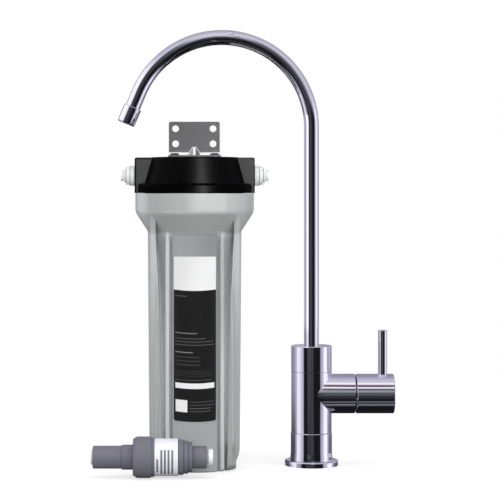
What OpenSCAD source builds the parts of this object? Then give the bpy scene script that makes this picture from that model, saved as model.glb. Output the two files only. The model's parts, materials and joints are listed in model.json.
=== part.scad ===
// Under-sink water filter set: filter housing, gooseneck faucet and in-line pressure limiting valve.
// Millimetres. The origin is on the floor under the housing's vertical axis. +Z is up, +X runs
// towards the faucet, and -Y faces the viewer.

/* [Bowl] */
// Height of the bowl, floor to rim face
bowl_h = 259.4; // [230:0.1:300]
// Outer diameter of the rim
rim_d = 112.6; // [108:0.1:124]
// Height of the straight rim
rim_h = 17.6; // [14:0.1:30]
// Height of the cone below the rim
cone_h = 18.1; // [10:0.1:30]
// Width across the side faces just below the cone
side_top_w = 89; // [87:0.1:94]
// Width across the side faces above the foot chamfer
side_bottom_w = 85.8; // [84.5:0.1:88]
// Width across the foot
foot_w = 79; // [75:0.1:83]
// Diameter across the corners of the foot
foot_corner_d = 95.6; // [88:0.1:104]
// Height of the straight foot
foot_h = 9; // [5:0.5:14]
// Height of the chamfer above the foot
foot_chamfer_h = 8; // [4:0.5:14]
// Diameter of the floor of the grooves
groove_d = 77; // [74:0.1:80]
// Height of the label panels at front and back above the floor of the grooves
panel_rise = 4.1; // [2.5:0.1:6]
// Width of the label panels
panel_w = 41.4; // [36:0.1:46]
// Thickness of the inner pair of ribs
inner_rib_t = 3.9; // [3:0.1:4.5]
// Distance from the centre plane to the inner ribs
inner_rib_x = 23.5; // [22.5:0.1:25.2]
// Distance from the centre plane to the wedge ribs at the foot
wedge_rib_x = 29.8; // [29.5:0.1:31.5]
// Distance from the centre plane to the outer face of the wedge ribs
wedge_rib_end_x = 34.4; // [33.5:0.1:35.8]
// Distance from the centre plane to the corner fins
corner_fin_x = 36.8; // [36.3:0.1:37.8]
// Thickness of the corner fins
corner_fin_t = 5.1; // [4:0.1:5.8]
// Depth of the groove between the wedge ribs and the corner fins
wedge_groove_depth = 1.9; // [0.5:0.1:6]
// Distance from the centre plane to the front edges of the ribs
rib_reach = 36.5; // [34:0.1:36.6]
// Distance from the end of the groove beside the wedge ribs up to the cone
wedge_groove_drop = 55.7; // [35:0.1:110]
// Distance from the place where the wedge ribs start to slant up to the cone
wedge_knee_drop = 65.7; // [45:0.1:120]
// Inner diameter of the bowl
bowl_bore_d = 71; // [68:0.1:72]
// Thickness of the floor of the bowl
bowl_floor_t = 6; // [4:0.5:12]
// Height of the seat ring on the floor
seat_ring_h = 2; // [1:0.1:4]
// Corner radius of the rim's lower edge
rim_edge_r = 2; // [0.5:0.1:4]

/* [Head] */
// Gap between the rim face and the head
rim_gap = 0.3; // [0.1:0.1:0.6]
// Height of the head above the rim
head_h = 33.9; // [31:0.1:44]
// Diameter of the head's lower flange
head_flange_d = 110.4; // [106:0.1:114]
// Height of the lower flange
head_flange_h = 9.1; // [5:0.1:11]
// Diameter of the cap at its top
cap_top_d = 85.4; // [74:0.1:92]
// Diameter of the cap where it meets the flange
cap_bottom_d = 98.5; // [93:0.1:102]
// Distance that each port box stands out beyond the bowl's rim
port_box_proud = 0.4; // [-1:0.1:6]
// Depth of the port boxes
port_box_depth = 28; // [24:0.5:46]
// Radius of the port boxes' upright edges
port_box_r = 1; // [0.5:0.1:3]
// Radius of the port boxes' upper corners in the front view
port_box_top_r = 2; // [1:0.1:5]
// Distance from the port boxes' top down from the top of the cap
port_box_drop = 0.3; // [0.2:0.1:3]
// Diameter of the threaded spigot
spigot_d = 94; // [90:0.1:95]
// Length of the threaded spigot
spigot_h = 18.5; // [14:0.5:19]
// Wall of the threaded spigot
spigot_wall = 6; // [4:0.5:8]
// Diametral clearance of the spigot in the rim
spigot_clearance = 0.6; // [0.4:0.1:1]
// Outer diameter of the outlet nipple
nipple_d = 24; // [20:0.5:30]
// Length of the outlet nipple below the head
nipple_drop = 4.5; // [2:0.1:8]
// Bore of the outlet nipple
nipple_bore_d = 12; // [8:0.5:16]
// Height of the inlet chamber above the rim
chamber_h = 2; // [1:0.5:4]
// Height of the port axis above the rim
port_h = 16.5; // [13:0.1:20]
// Diameter of the port threads
port_thread_d = 13.2; // [12:0.1:16]
// Depth of the port threads
port_thread_depth = 14; // [10:0.5:18]
// Diameter of the water channels in the head
channel_d = 7; // [4:0.5:9]

/* [Bracket] */
// Thickness of the bracket's steel
bracket_t = 2; // [1.5:0.1:4]
// Width of the bracket
bracket_w = 50; // [46:0.1:60]
// Distance from the housing's axis to the wall
wall_distance = 60; // [58:0.5:80]
// Height of the upright plate above the top of the head
bracket_h = 36.2; // [32:0.1:60]
// Length of the bracket in front of the housing's axis
bracket_front = 14; // [10:0.5:25]
// Inner radius of the bend
bend_r = 4.4; // [2:0.1:5]
// Diameter of the wall holes
wall_hole_d = 6.6; // [4:0.1:8]
// Distance between the wall holes, side to side
wall_hole_spacing_x = 36.7; // [30:0.1:38]
// Distance between the wall holes, one above the other
wall_hole_spacing_z = 14.8; // [12:0.1:16]
// Distance from the upper holes to the top edge
wall_hole_edge = 6.9; // [6:0.1:9]
// Corner radius of the upright plate
bracket_corner_r = 2; // [1:0.1:4]
// Reach of the pressed gusset along each leg
gusset_leg = 9.6; // [6:0.1:11]
// Width of the pressed gusset where its flanks would meet in the corner
gusset_w = 15; // [6:0.1:18]
// Width of the flat ridge of the gusset
gusset_ridge_w = 2.4; // [1:0.1:4]
// Distance between the two bracket screws
screw_spacing = 38; // [32:0.1:42]
// Head diameter of the bracket screws
screw_head_d = 9; // [7:0.1:11]
// Head height of the bracket screws
screw_head_h = 2; // [1.2:0.1:4]
// Depth of the cross recess in the bracket screws
screw_recess = 0.9; // [0.4:0.1:1.1]
// Shank diameter of the bracket screws
screw_shank_d = 4.6; // [3:0.1:6]
// Shank length of the bracket screws
screw_shank_l = 12; // [8:0.5:16]
// Distance of the bracket screws in front of the housing's axis
screw_front = 4; // [0:0.5:9]

/* [Push-fit fittings] */
// Outer diameter of the hose that the fittings take
hose_d = 6.35; // [6:0.05:6.5]
// Diametral clearance of the hose in a collet
hose_clearance = 0.15; // [0.05:0.05:0.2]
// Diameter of the fitting's first ring
fitting_ring_d = 19; // [16:0.1:22]
// Length of the first ring
fitting_ring_l = 4.3; // [3:0.1:8]
// Diameter of the second ring
fitting_step_d = 17.1; // [14:0.1:19]
// Length of the second ring
fitting_step_l = 3.8; // [2:0.1:7]
// Diameter of the fitting's nose
fitting_nose_d = 13.4; // [12:0.1:15]
// Length of the nose
fitting_nose_l = 1.9; // [1:0.1:4]
// Outer diameter of a collet's barrel
collet_d = 9.4; // [9:0.1:9.6]
// Length of a collet's barrel
collet_l = 8.2; // [6:0.1:9]
// Flange diameter of the housing's collets
collet_flange_d = 10.4; // [9.8:0.1:12]
// Flange thickness of the housing's collets
collet_flange_t = 2.1; // [1:0.1:4]
// Push travel of the collets
collet_travel = 1; // [0.6:0.1:1.5]

/* [Cartridge] */
// Diameter of the cartridge's end caps
cartridge_d = 64; // [60:0.5:66]
// Thickness of an end cap
end_cap_t = 2.5; // [1.5:0.1:4]
// Depth of an end cap's lip
end_cap_lip = 8; // [4:0.5:14]
// Thickness of a gasket
gasket_t = 3; // [2:0.1:4]
// Outer diameter of a gasket
gasket_d = 40; // [34:0.5:48]
// Outer diameter of the core tube
core_d = 30; // [27:0.5:34]
// Wall of the core tube
core_wall = 2.5; // [1.5:0.1:3]
// Diameter of the holes in the core tube
core_hole_d = 5; // [3:0.5:7]
// Rows of holes in the core tube
core_hole_rows = 10; // [6:1:12]
// Wall of the outer fleece
wrap_wall = 1.2; // [0.8:0.1:2]

/* [Front label] */
// Width of the front label
label_w = 39.2; // [30:0.1:41]
// Distance from the front label's upper edge up to the cone
label_drop = 23; // [10:0.1:60]
// Height of the label's lower edge
label_z = 47.4; // [30:0.1:55]
// Thickness of the labels
label_t = 0.3; // [0.2:0.05:0.5]

/* [Faucet column] */
// Distance from the housing's axis to the faucet's axis
faucet_x = 111.7; // [100:0.1:150]
// Distance of the faucet's axis behind the housing's axis
faucet_back = 11; // [10.6:0.1:30]
// Diameter of the base flange
flange_d = 51; // [46:0.1:60]
// Height of the base flange
flange_h = 5.3; // [4.5:0.1:8]
// Height of the lower section above the flange
base_h = 26.3; // [24:0.1:40]
// Diameter of the lower section
base_d = 39.4; // [37:0.1:42]
// Flare at the foot of the lower section, on the radius
base_flare = 0.4; // [0.1:0.1:1]
// Height of the body above the lower section
body_h = 57.7; // [55:0.1:70]
// Diameter of the body
body_d = 38.7; // [36.5:0.1:41]
// Height of the collar
collar_h = 24.9; // [21:0.1:34]
// Diameter of the collar
collar_d = 38.9; // [37:0.1:42]
// Thread diameter of the shank hole
shank_thread_d = 12; // [10:0.5:14]
// Depth of the shank hole
shank_depth = 22; // [16:0.5:24]
// Diameter of the water bore above the shank
riser_bore_d = 8; // [6:0.5:9]
// Diameter of the threaded joint between lower section and body
joint_d = 24; // [20:0.5:26]
// Length of that joint
joint_l = 9; // [6:0.5:10]
// Diameter of the body's threaded neck
neck_d = 29.4; // [26:0.1:31]

/* [Spout] */
// Outer diameter of the spout tube
tube_d = 14.4; // [13:0.1:15]
// Wall of the spout tube
tube_wall = 1; // [0.6:0.1:1.5]
// Radius of the gooseneck
neck_r = 85.7; // [60:0.5:95]
// Height of the gooseneck's centre
arc_z = 322.7; // [300:0.1:380]
// Angle of the outlet from the vertical
tip_angle = 23; // [10:0.5:35]
// Straight length before the nozzle
tip_straight = 15.5; // [6:0.5:30]
// Diameter of the nozzle
nozzle_d = 17.3; // [16.2:0.1:20]
// Length of the nozzle
nozzle_l = 17.2; // [12:0.1:24]
// Diameter of the outlet hole
outlet_d = 10; // [6:0.5:11]
// Overlap of the nozzle on the tube
nozzle_overlap = 5; // [3:0.5:8]
// Outer diameter of the spout's tail
tail_d = 15.8; // [15.6:0.1:16.6]
// Length of the spout's tail
tail_l = 14; // [12:0.5:16]
// Length of the bearing bush
bush_l = 13; // [9:0.5:15]
// Outer diameter of the bearing bush
bush_d = 19.8; // [18.5:0.1:21]
// Radial running clearance of turning parts
running = 0.05; // [0.03:0.01:0.1]

/* [Lever valve] */
// Diameter of the side branch and the hub
branch_d = 37.7; // [36:0.1:38]
// Height of the branch's axis above the floor
branch_z = 68.2; // [66:0.1:74]
// Distance from the faucet's axis to the end of the branch
branch_l = 41.2; // [36:0.1:50]
// Gap between branch and hub
hub_gap = 1.2; // [0.5:0.1:2]
// Length of the hub
hub_l = 36; // [30:0.1:45]
// Chamfer of the edges at the gap
gap_chamfer = 0.5; // [0.3:0.1:1.5]
// Diameter of the lever rod
lever_d = 8.8; // [6:0.1:11]
// Height of the top of the lever rod
lever_top = 129; // [110:0.1:160]
// Distance from the faucet's axis to the lever rod
lever_x = 68; // [60:0.1:70]
// Depth of the lever rod in the hub
lever_seat = 10; // [6:0.5:12]
// Diameter of the ceramic valve
cartridge_valve_d = 22; // [20:0.5:24]
// Diameter of the ceramic discs
disc_d = 15.8; // [14:0.1:17]
// Thickness of a ceramic disc
disc_t = 3.4; // [2.5:0.1:4]
// Distance of the valve's ports from its axis
valve_port_offset = 4.5; // [4:0.1:5]
// Diameter of the valve's ports
valve_port_d = 4.6; // [3:0.1:5]
// Diameter of the valve spindle
spindle_d = 9.9; // [8:0.1:11]
// Diameter of the spindle's end in the hub
spindle_end_d = 8; // [6:0.1:9]

/* [Pressure limiting valve] */
// Distance of the valve's axis in front of the housing's axis
plv_front = 71.8; // [71.6:0.1:90]
// Position of the left end of the inlet stem
plv_left = -93.4; // [-110:0.1:-80]
// Diameter of the inlet stem
plv_stem_d = 20.8; // [18:0.1:22]
// Length of the inlet stem
plv_stem_l = 26.5; // [24:0.1:34]
// Diameter of the ring beside the bonnet
plv_ring_d = 22.7; // [21:0.1:26]
// Length of the ring
plv_ring_l = 10.3; // [8:0.1:14]
// Diameter of the bonnet
plv_bonnet_d = 37.6; // [36:0.1:40]
// Length of the bonnet
plv_bonnet_l = 17.4; // [16:0.1:24]
// Chamfer of the bonnet
plv_bonnet_chamfer = 3.7; // [1:0.1:5]
// Diameter of the short step beside the bonnet
plv_step_d = 35.5; // [34.5:0.1:36]
// Length of the short step
plv_step_l = 2.1; // [1:0.1:3]
// Diameter of the sleeve under the label
plv_sleeve_d = 33.3; // [32:0.1:34]
// Length of the sleeve
plv_sleeve_l = 21.5; // [20:0.1:30]
// Diameter of the first grip ring
plv_rib_a_d = 32.1; // [31:0.1:33]
// Length of the first grip ring
plv_rib_a_l = 5; // [3:0.1:6]
// Diameter of the second grip ring
plv_rib_b_d = 30; // [29:0.1:31]
// Length of the second grip ring
plv_rib_b_l = 4.1; // [2:0.1:5]
// Diameter of the third grip ring
plv_rib_c_d = 27.5; // [25:0.1:28.5]
// Length of the third grip ring
plv_rib_c_l = 4; // [3:0.1:6]
// Diameter of the outlet neck
plv_neck_d = 20.4; // [18:0.1:22]
// Length of the outlet neck
plv_neck_l = 13.4; // [12.5:0.1:16]
// Diameter of the piston bore
plv_bore_d = 26; // [24:0.1:27]
// Length of the threaded joint between the halves
plv_joint_l = 13; // [8:0.5:15]
// Diameter of the threaded joint
plv_joint_d = 30; // [28.5:0.1:31]
// Travel of the piston
piston_travel = 2; // [1:0.1:3]
// Diameter of the piston's stem
piston_stem_d = 8.5; // [7.5:0.1:9]
// Thickness of the piston's head
piston_head_t = 6; // [4:0.5:7]
// Free length between the spring's seats
spring_l = 11; // [9:0.5:13]
// Wire diameter of the spring
spring_wire_d = 1.8; // [1:0.1:2]
// Mean diameter of the spring
spring_d = 17; // [14:0.1:20]
// Turns of the spring
spring_turns = 3.5; // [2:0.5:4]
// Flange diameter of the inlet collet
plv_in_flange_d = 13.3; // [12:0.1:15]
// Flange thickness of the inlet collet
plv_in_flange_t = 2; // [1:0.1:3]
// Part of the inlet collet's flange that stands out
plv_in_proud = 1.7; // [1.6:0.1:2]
// Flange diameter of the outlet collet
plv_out_flange_d = 15; // [12:0.1:17]
// Flange thickness of the outlet collet
plv_out_flange_t = 4.1; // [2:0.1:6]

/* [Seals] */
// Section diameter of the bowl's seal ring
bowl_ring_t = 3.2; // [2.4:0.1:3.6]
// Section diameter of the hose seal rings
hose_ring_t = 1.7; // [1.4:0.1:1.8]
// Section diameter of the spout's seal rings
spout_ring_t = 1.8; // [1.4:0.1:2]
// Section diameter of the small seal rings
small_ring_t = 1.4; // [1:0.1:1.6]
// Free space round a seal ring in its groove
ring_room = 0.05; // [0.03:0.01:0.1]

/* [Hidden] */
$fn = 96;

// Gap between faces that do not move on each other
seat_gap = 0.05;
// Gap between faces of different moving bodies
free_gap = 0.3;
// Overlap that makes cuts and unions clean
cut = 1;

// Bowl
cone_z = bowl_h - rim_h - cone_h;
label_h = cone_z - label_drop - label_z;
rim_z = bowl_h - rim_h;
side_z = foot_h + foot_chamfer_h;
socket_d = spigot_d + spigot_clearance;
socket_z = bowl_h - spigot_h - spigot_clearance;
bowl_ring_seat_d = socket_d + 2 * (bowl_ring_t + ring_room);
corner_fin_end_x = corner_fin_x + corner_fin_t;
rim_top_edge = 0.5;
panel_d = groove_d + 2 * panel_rise;
// Lower edge of the foot: how far it stands back at the floor and half way, and how high these are
foot_edge = [2, 0.6, 0.6, 2];
wedge_groove_top = cone_z - wedge_groove_drop;
wedge_knee_h = cone_z - wedge_knee_drop;

// Head
head_z = bowl_h + rim_gap;
port_box_w = rim_d + 2 * port_box_proud;
head_top = head_z + head_h;
port_z = head_z + port_h;
chamber_top = head_z + chamber_h;
shoulder_r = 3;
cap_edge = 1;
port_box_top = head_top - port_box_drop;
pilot_d = screw_shank_d + 2 * seat_gap;

// Cartridge
cartridge_z = bowl_floor_t + seat_ring_h + free_gap;
nipple_z = head_z - nipple_drop;
cartridge_top = nipple_z - free_gap;
seat_ring_d = nipple_d;
seat_ring_wall = 4;
seat_ring_bore_d = seat_ring_d - 2 * seat_ring_wall;
block_z = cartridge_z + gasket_t + end_cap_t;
block_top = cartridge_top - gasket_t - end_cap_t;
cap_lip_wall = 1;
wrap_d = cartridge_d - 2 * cap_lip_wall - 2 * seat_gap;
block_d = wrap_d - 2 * wrap_wall - 2 * seat_gap;
core_bore_d = core_d - 2 * core_wall;

// Push-fit fittings
fitting_l = fitting_ring_l + fitting_step_l + fitting_nose_l;
collet_gap = collet_travel + free_gap;
collet_bore_d = hose_d + hose_clearance;
fitting_bore_d = collet_d + 4 * running;
hose_ring_u = collet_l + collet_gap + hose_ring_t / 2 + ring_room;
fitting_bore_l = hose_ring_u + hose_ring_t / 2 + ring_room;
slot_w = 0.8;
slot_l = 4;
hose_stop_l = 4;
water_d = 4.4;

// Bracket
upright_y = wall_distance - bracket_t;
wall_hole_z = head_top + bracket_h - wall_hole_edge;

// Faucet
base_z = flange_h;
edge = 0.6;
body_z = flange_h + base_h;
collar_z = body_z + body_h;
collar_top = collar_z + collar_h;
base_foot_lift = 0.8;
base_foot_h = flange_h - base_foot_lift;
base_foot_d = 26;
foot_hole_d = base_foot_d + 2 * seat_gap;
gasket_seat_t = 1.6;
gasket_seat_d = flange_d - 6.5;
gasket_seat_bore_d = foot_hole_d + 8;
base_ring_z = body_z + joint_l - 2.5;
chamber_d = 16;
chamber_end_z = branch_z - valve_port_offset + valve_port_d / 2;
outlet_port_z = branch_z + valve_port_offset - valve_port_d / 2;
collar_roof_t = 8;
neck_h = collar_h - collar_roof_t;
neck_top = collar_z + neck_h;
bush_z = neck_top - bush_l - seat_gap;
tail_z = bush_z - free_gap - tail_l;
tail_bore_d = tail_d + 2 * running;
tail_room_z = tail_z - free_gap;
tail_spigot_l = 8;
tube_bore_d = tube_d - 2 * tube_wall;
tube_start_z = tail_z + tail_l;
spout_ring_r = tail_bore_d / 2 - ring_room - spout_ring_t / 2;
spout_ring_z = [tail_z + tail_l * 0.3, tail_z + tail_l * 0.7];

// Gooseneck, in the plane of the faucet
arc_sweep = 180 - tip_angle;
arc_x = faucet_x - neck_r;
arc_end_x = arc_x + neck_r * cos(arc_sweep);
arc_end_z = arc_z + neck_r * sin(arc_sweep);
nozzle_bore_d = tube_d + 2 * seat_gap;
// The straight tip starts just inside the bend and is this much thinner on each side
tip_lap = 0.3;
tip_step = 0.03;
mesh_t = 0.8;
aerator_l = 5;
aerator_d = outlet_d + 2.4;
aerator_seal_t = 1.2;

// Lever valve, along X from the faucet's axis
branch_end = faucet_x + branch_l;
hub_start = branch_end + hub_gap;
hub_end = hub_start + hub_l;
socket_depth = 22;
socket_start = branch_end - socket_depth;
valve_gasket_t = 2.8;
cage_start = socket_start + valve_gasket_t + seat_gap;
disc_start = cage_start;
moving_start = disc_start + disc_t + running;
driver_start = moving_start + disc_t + running;
driver_t = 2.4;
tang_w = 3;
tang_h = 0.9;
tang_l = disc_d - 3;
cage_l = 14;
cage_end = cage_start + cage_l;
nut_start = cage_end + seat_gap;
nut_end = branch_end - 0.4;
hub_bore_l = 14;
spindle_end = hub_start + hub_bore_l - free_gap;
spindle_ring_x = cage_end - 2.6;
spindle_bore_d = spindle_d + 2 * running;
hub_screw_d = 4;
hub_screw_l = 8;
hub_screw_x = hub_start + 8;

// Pressure limiting valve, along X
plv_z = plv_bonnet_d / 2;
plv_ring_x = plv_left + plv_stem_l;
plv_bonnet_x = plv_ring_x + plv_ring_l;
plv_step_x = plv_bonnet_x + plv_bonnet_l;
plv_split_x = plv_step_x + plv_step_l;
plv_rib_a_x = plv_split_x + plv_sleeve_l;
plv_rib_b_x = plv_rib_a_x + plv_rib_a_l;
plv_rib_c_x = plv_rib_b_x + plv_rib_b_l;
plv_neck_x = plv_rib_c_x + plv_rib_c_l;
plv_right = plv_neck_x + plv_neck_l;
plv_joint_x = plv_split_x - plv_joint_l;
plv_cavity_x = plv_bonnet_x + 2.5;
piston_head_x = plv_cavity_x + spring_l;
piston_end_x = piston_head_x + piston_head_t;
nozzle_drop = 9;
nozzle_x = plv_cavity_x - nozzle_drop;
piston_start_x = nozzle_x + piston_travel + running;
guide_d = piston_stem_d + 4 * running;
nozzle_seat_d = 5.2;
seat_d = 6;
seat_t = 1.5;
piston_web = 4;
piston_bore_d = 3;
piston_side_hole_d = 1.6;
plv_bore_end_x = plv_rib_b_x;
piston_d = plv_bore_d - 4 * running;
piston_ring_t = 2;
stem_ring_x = plv_cavity_x - 2;
plv_in_recess = collet_travel + free_gap + plv_in_flange_t - plv_in_proud;

// Shared shapes

// A cylinder along X from one place to another
module rod_x(from, to, d) {
    translate([from, 0, 0]) rotate([0, 90, 0]) cylinder(h = to - from, d = d);
}

// A tube along X
module tube_x(from, to, d, bore) {
    difference() {
        rod_x(from, to, d);
        rod_x(from - cut, to + cut, bore);
    }
}

// A tube along Z
module tube_z(from, to, d, bore) {
    translate([0, 0, from]) difference() {
        cylinder(h = to - from, d = d);
        translate([0, 0, -cut]) cylinder(h = to - from + 2 * cut, d = bore);
    }
}

// A seal ring about Z
module seal_ring(mean_r, section_d) {
    rotate_extrude() translate([mean_r, 0]) circle(d = section_d, $fn = 32);
}

// A seal ring about X
module seal_ring_x(x, mean_r, section_d) {
    translate([x, 0, 0]) rotate([0, 90, 0]) seal_ring(mean_r, section_d);
}

// Places the faucet's parts on its axis
module at_faucet() {
    translate([faucet_x, faucet_back, 0]) children();
}

// Places parts on the axis of the branch
module at_branch() {
    translate([0, faucet_back, branch_z]) children();
}

// Places parts on the axis of the pressure limiting valve
module at_plv() {
    translate([0, -plv_front, plv_z]) children();
}

// Places a fitting's parts on the left port, mouth facing -X at the given place
module at_port(side) {
    translate([0, 0, port_z]) mirror([side > 0 ? 0 : 1, 0, 0])
        translate([port_box_w / 2 + fitting_l, 0, 0]) children();
}

// The inside of a push-fit socket, mouth at the origin and running towards -X
module hose_socket() {
    rod_x(-fitting_bore_l, cut, fitting_bore_d);
    rod_x(-fitting_bore_l - hose_stop_l, cut, collet_bore_d + 4 * running);
}

// A release collet, its barrel in a socket with the mouth at the origin
module collet(flange_from, flange_t, flange_d) {
    difference() {
        union() {
            rod_x(-collet_l, flange_from + cut / 2, collet_d);
            rod_x(flange_from, flange_from + flange_t, flange_d);
        }
        rod_x(-collet_l - cut, flange_from + flange_t + cut, collet_bore_d);
        for (turn = [0, 90]) rotate([turn, 0, 0])
            translate([-collet_l - cut, -slot_w / 2, -collet_d]) cube([slot_l + cut, slot_w, 2 * collet_d]);
    }
}

// Bowl

// One rib of the bowl, drawn in the front view and run through from front to back
module rib(points, reach = rib_reach) {
    rotate([90, 0, 0]) linear_extrude(height = 2 * reach, center = true) polygon(points);
}

module ribs() {
    wedge_x = (corner_fin_x + wedge_rib_x) / 2;
    for (side = [0, 1]) mirror([side, 0, 0]) {
        rib([[inner_rib_x, 0], [inner_rib_x + inner_rib_t, 0],
             [inner_rib_x + inner_rib_t, rim_z], [inner_rib_x, rim_z]]);
        rib([[wedge_rib_x, 0], [wedge_rib_end_x, 0], [wedge_rib_end_x, wedge_groove_top],
             [corner_fin_x + cut, wedge_groove_top + 5], [corner_fin_x + cut, cone_z],
             [corner_fin_x, cone_z], [wedge_x, wedge_knee_h]]);
        rib([[wedge_rib_end_x - cut, 0], [corner_fin_x + cut, 0],
             [corner_fin_x + cut, wedge_groove_top + cut], [wedge_rib_end_x - cut, wedge_groove_top + cut]],
            rib_reach - wedge_groove_depth);
        rib([[corner_fin_x, 0], [corner_fin_end_x, 0],
             [corner_fin_end_x, rim_z], [corner_fin_x, rim_z]]);
    }
}

module panels() {
    intersection() {
        cylinder(h = rim_z, d = panel_d);
        translate([-panel_w / 2, -panel_d, 0]) cube([panel_w, 2 * panel_d, rim_z]);
    }
}

module side_faces() {
    intersection() {
        cylinder(h = rim_z, d = side_top_w);
        union() for (side = [0, 1]) mirror([side, 0, 0])
            translate([corner_fin_x, -side_top_w, 0]) cube([side_top_w, 2 * side_top_w, rim_z]);
    }
}

// The bowl's outline in the front view, which gives its draft and its chamfered foot
module front_outline() {
    half = [[foot_w / 2 - foot_edge[0], -cut], [foot_w / 2 - foot_edge[0], 0],
            [foot_w / 2 - foot_edge[1], foot_edge[2]], [foot_w / 2, foot_edge[3]], [foot_w / 2, foot_h],
            [side_bottom_w / 2, side_z], [side_top_w / 2, cone_z], [side_top_w / 2, rim_z]];
    mirrored = [for (i = [len(half) - 1:-1:0]) [-half[i][0], half[i][1]]];
    rotate([90, 0, 0]) linear_extrude(height = 2 * rim_d, center = true) polygon(concat(half, mirrored));
}

// A cone round the foot cuts the lower ends of the ribs at the corners
module foot_outline() {
    slope = (side_bottom_w - foot_w) / 2 / foot_chamfer_h;
    foot_r = foot_corner_d / 2;
    rotate_extrude() polygon([
        [0, 0], [foot_r - foot_edge[0], 0], [foot_r - foot_edge[1], foot_edge[2]], [foot_r, foot_edge[3]],
        [foot_r, foot_h], [rim_d / 2, foot_h + (rim_d / 2 - foot_r) / slope], [rim_d / 2, rim_z],
        [0, rim_z]]);
}

module bowl() {
    cone_slope = (rim_d - side_top_w) / 2 / cone_h;
    inner_z = cone_z - (side_top_w - groove_d) / 2 / cone_slope;
    color([0.66, 0.67, 0.67]) difference() {
        union() {
            intersection() {
                union() {
                    cylinder(h = rim_z, d = groove_d);
                    panels();
                    side_faces();
                    ribs();
                }
                front_outline();
                foot_outline();
            }
            rotate_extrude() polygon([
                [0, inner_z], [groove_d / 2 - cut / 2, inner_z], [side_top_w / 2, cone_z],
                [rim_d / 2 - rim_edge_r * 0.3, rim_z - rim_edge_r * 0.3], [rim_d / 2, rim_z + rim_edge_r],
                [rim_d / 2, bowl_h - rim_top_edge], [rim_d / 2 - rim_top_edge, bowl_h], [0, bowl_h]]);
        }
        translate([0, 0, bowl_floor_t + seat_ring_h]) cylinder(h = bowl_h, d = bowl_bore_d);
        tube_z(bowl_floor_t, bowl_floor_t + seat_ring_h + cut, bowl_bore_d, seat_ring_d);
        translate([0, 0, bowl_floor_t]) cylinder(h = seat_ring_h + cut, d = seat_ring_bore_d);
        translate([0, 0, socket_z]) cylinder(h = bowl_h, d = socket_d);
        translate([0, 0, bowl_h - bowl_ring_t - 2 * ring_room]) cylinder(h = bowl_h, d = bowl_ring_seat_d);
    }
}

module bowl_o_ring() {
    ring_r = (socket_d + bowl_ring_seat_d) / 4;
    color([0.08, 0.08, 0.08]) translate([0, 0, bowl_h - bowl_ring_t / 2 - ring_room])
        seal_ring(ring_r, bowl_ring_t);
}

module front_label() {
    inner_d = panel_d + 2 * seat_gap;
    color([0.2, 0.2, 0.2]) intersection() {
        tube_z(label_z, label_z + label_h, inner_d + 2 * label_t, inner_d);
        translate([-label_w / 2, -panel_d, label_z]) cube([label_w, panel_d, label_h]);
    }
}

// Head

module filter_head() {
    color([0.05, 0.05, 0.05]) difference() {
        union() {
            head_shell();
            port_boxes();
            translate([0, 0, head_z - spigot_h]) cylinder(h = spigot_h + cut, d = spigot_d);
        }
        inlet_chamber();
        head_channels();
        for (side = [-1, 1]) translate([side * screw_spacing / 2, -screw_front, head_top - screw_shank_l])
            cylinder(h = screw_shank_l + cut, d = pilot_d);
    }
}

module head_shell() {
    flange_r = head_flange_d / 2;
    rotate_extrude() polygon(concat(
        [[0, head_z], [flange_r, head_z]],
        [for (a = [0:15:90]) [flange_r - shoulder_r + shoulder_r * cos(a),
                              head_z + head_flange_h - shoulder_r + shoulder_r * sin(a)]],
        [[cap_bottom_d / 2, head_z + head_flange_h], [cap_top_d / 2, head_top - cap_edge],
         [cap_top_d / 2 - cap_edge, head_top], [0, head_top]]));
}

module port_boxes() {
    span = port_box_w - 2 * port_box_r;
    top_span = port_box_w / 2 - port_box_top_r;
    intersection() {
        translate([0, 0, head_z]) linear_extrude(height = head_h) union() {
            square([span, port_box_depth], center = true);
            square([port_box_w, port_box_depth - 2 * port_box_r], center = true);
            for (x = [-1, 1], y = [-1, 1]) translate([x * span / 2, y * (port_box_depth / 2 - port_box_r)])
                circle(r = port_box_r, $fn = 32);
        }
        rotate([90, 0, 0]) linear_extrude(height = port_box_depth + 2 * cut, center = true) union() {
            translate([-top_span, head_z]) square([2 * top_span, port_box_top - head_z]);
            translate([-port_box_w / 2 - cut, head_z])
                square([port_box_w + 2 * cut, port_box_top - port_box_top_r - head_z]);
            for (x = [-1, 1]) translate([x * top_span, port_box_top - port_box_top_r])
                circle(r = port_box_top_r, $fn = 32);
        }
    }
}

// The ring-shaped space that the inlet water falls into, round the outlet nipple
module inlet_chamber() {
    chamber_z = head_z - spigot_h - cut;
    difference() {
        translate([0, 0, chamber_z]) cylinder(h = chamber_top - chamber_z, d = spigot_d - 2 * spigot_wall);
        translate([0, 0, nipple_z]) cylinder(h = head_h, d = nipple_d);
    }
}

module head_channels() {
    drop_x = -(nipple_d / 2 + channel_d);
    translate([0, 0, port_z]) {
        for (side = [0, 1]) mirror([side, 0, 0])
            rod_x(port_box_w / 2 - port_thread_depth, port_box_w / 2 + cut, port_thread_d);
        rod_x(-port_box_w / 2, drop_x, channel_d);
        rod_x(0, port_box_w / 2, channel_d);
    }
    translate([drop_x, 0, head_z]) cylinder(h = port_h, d = channel_d);
    translate([0, 0, nipple_z - cut]) cylinder(h = port_z - nipple_z + cut, d = nipple_bore_d);
}

// Bracket

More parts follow.
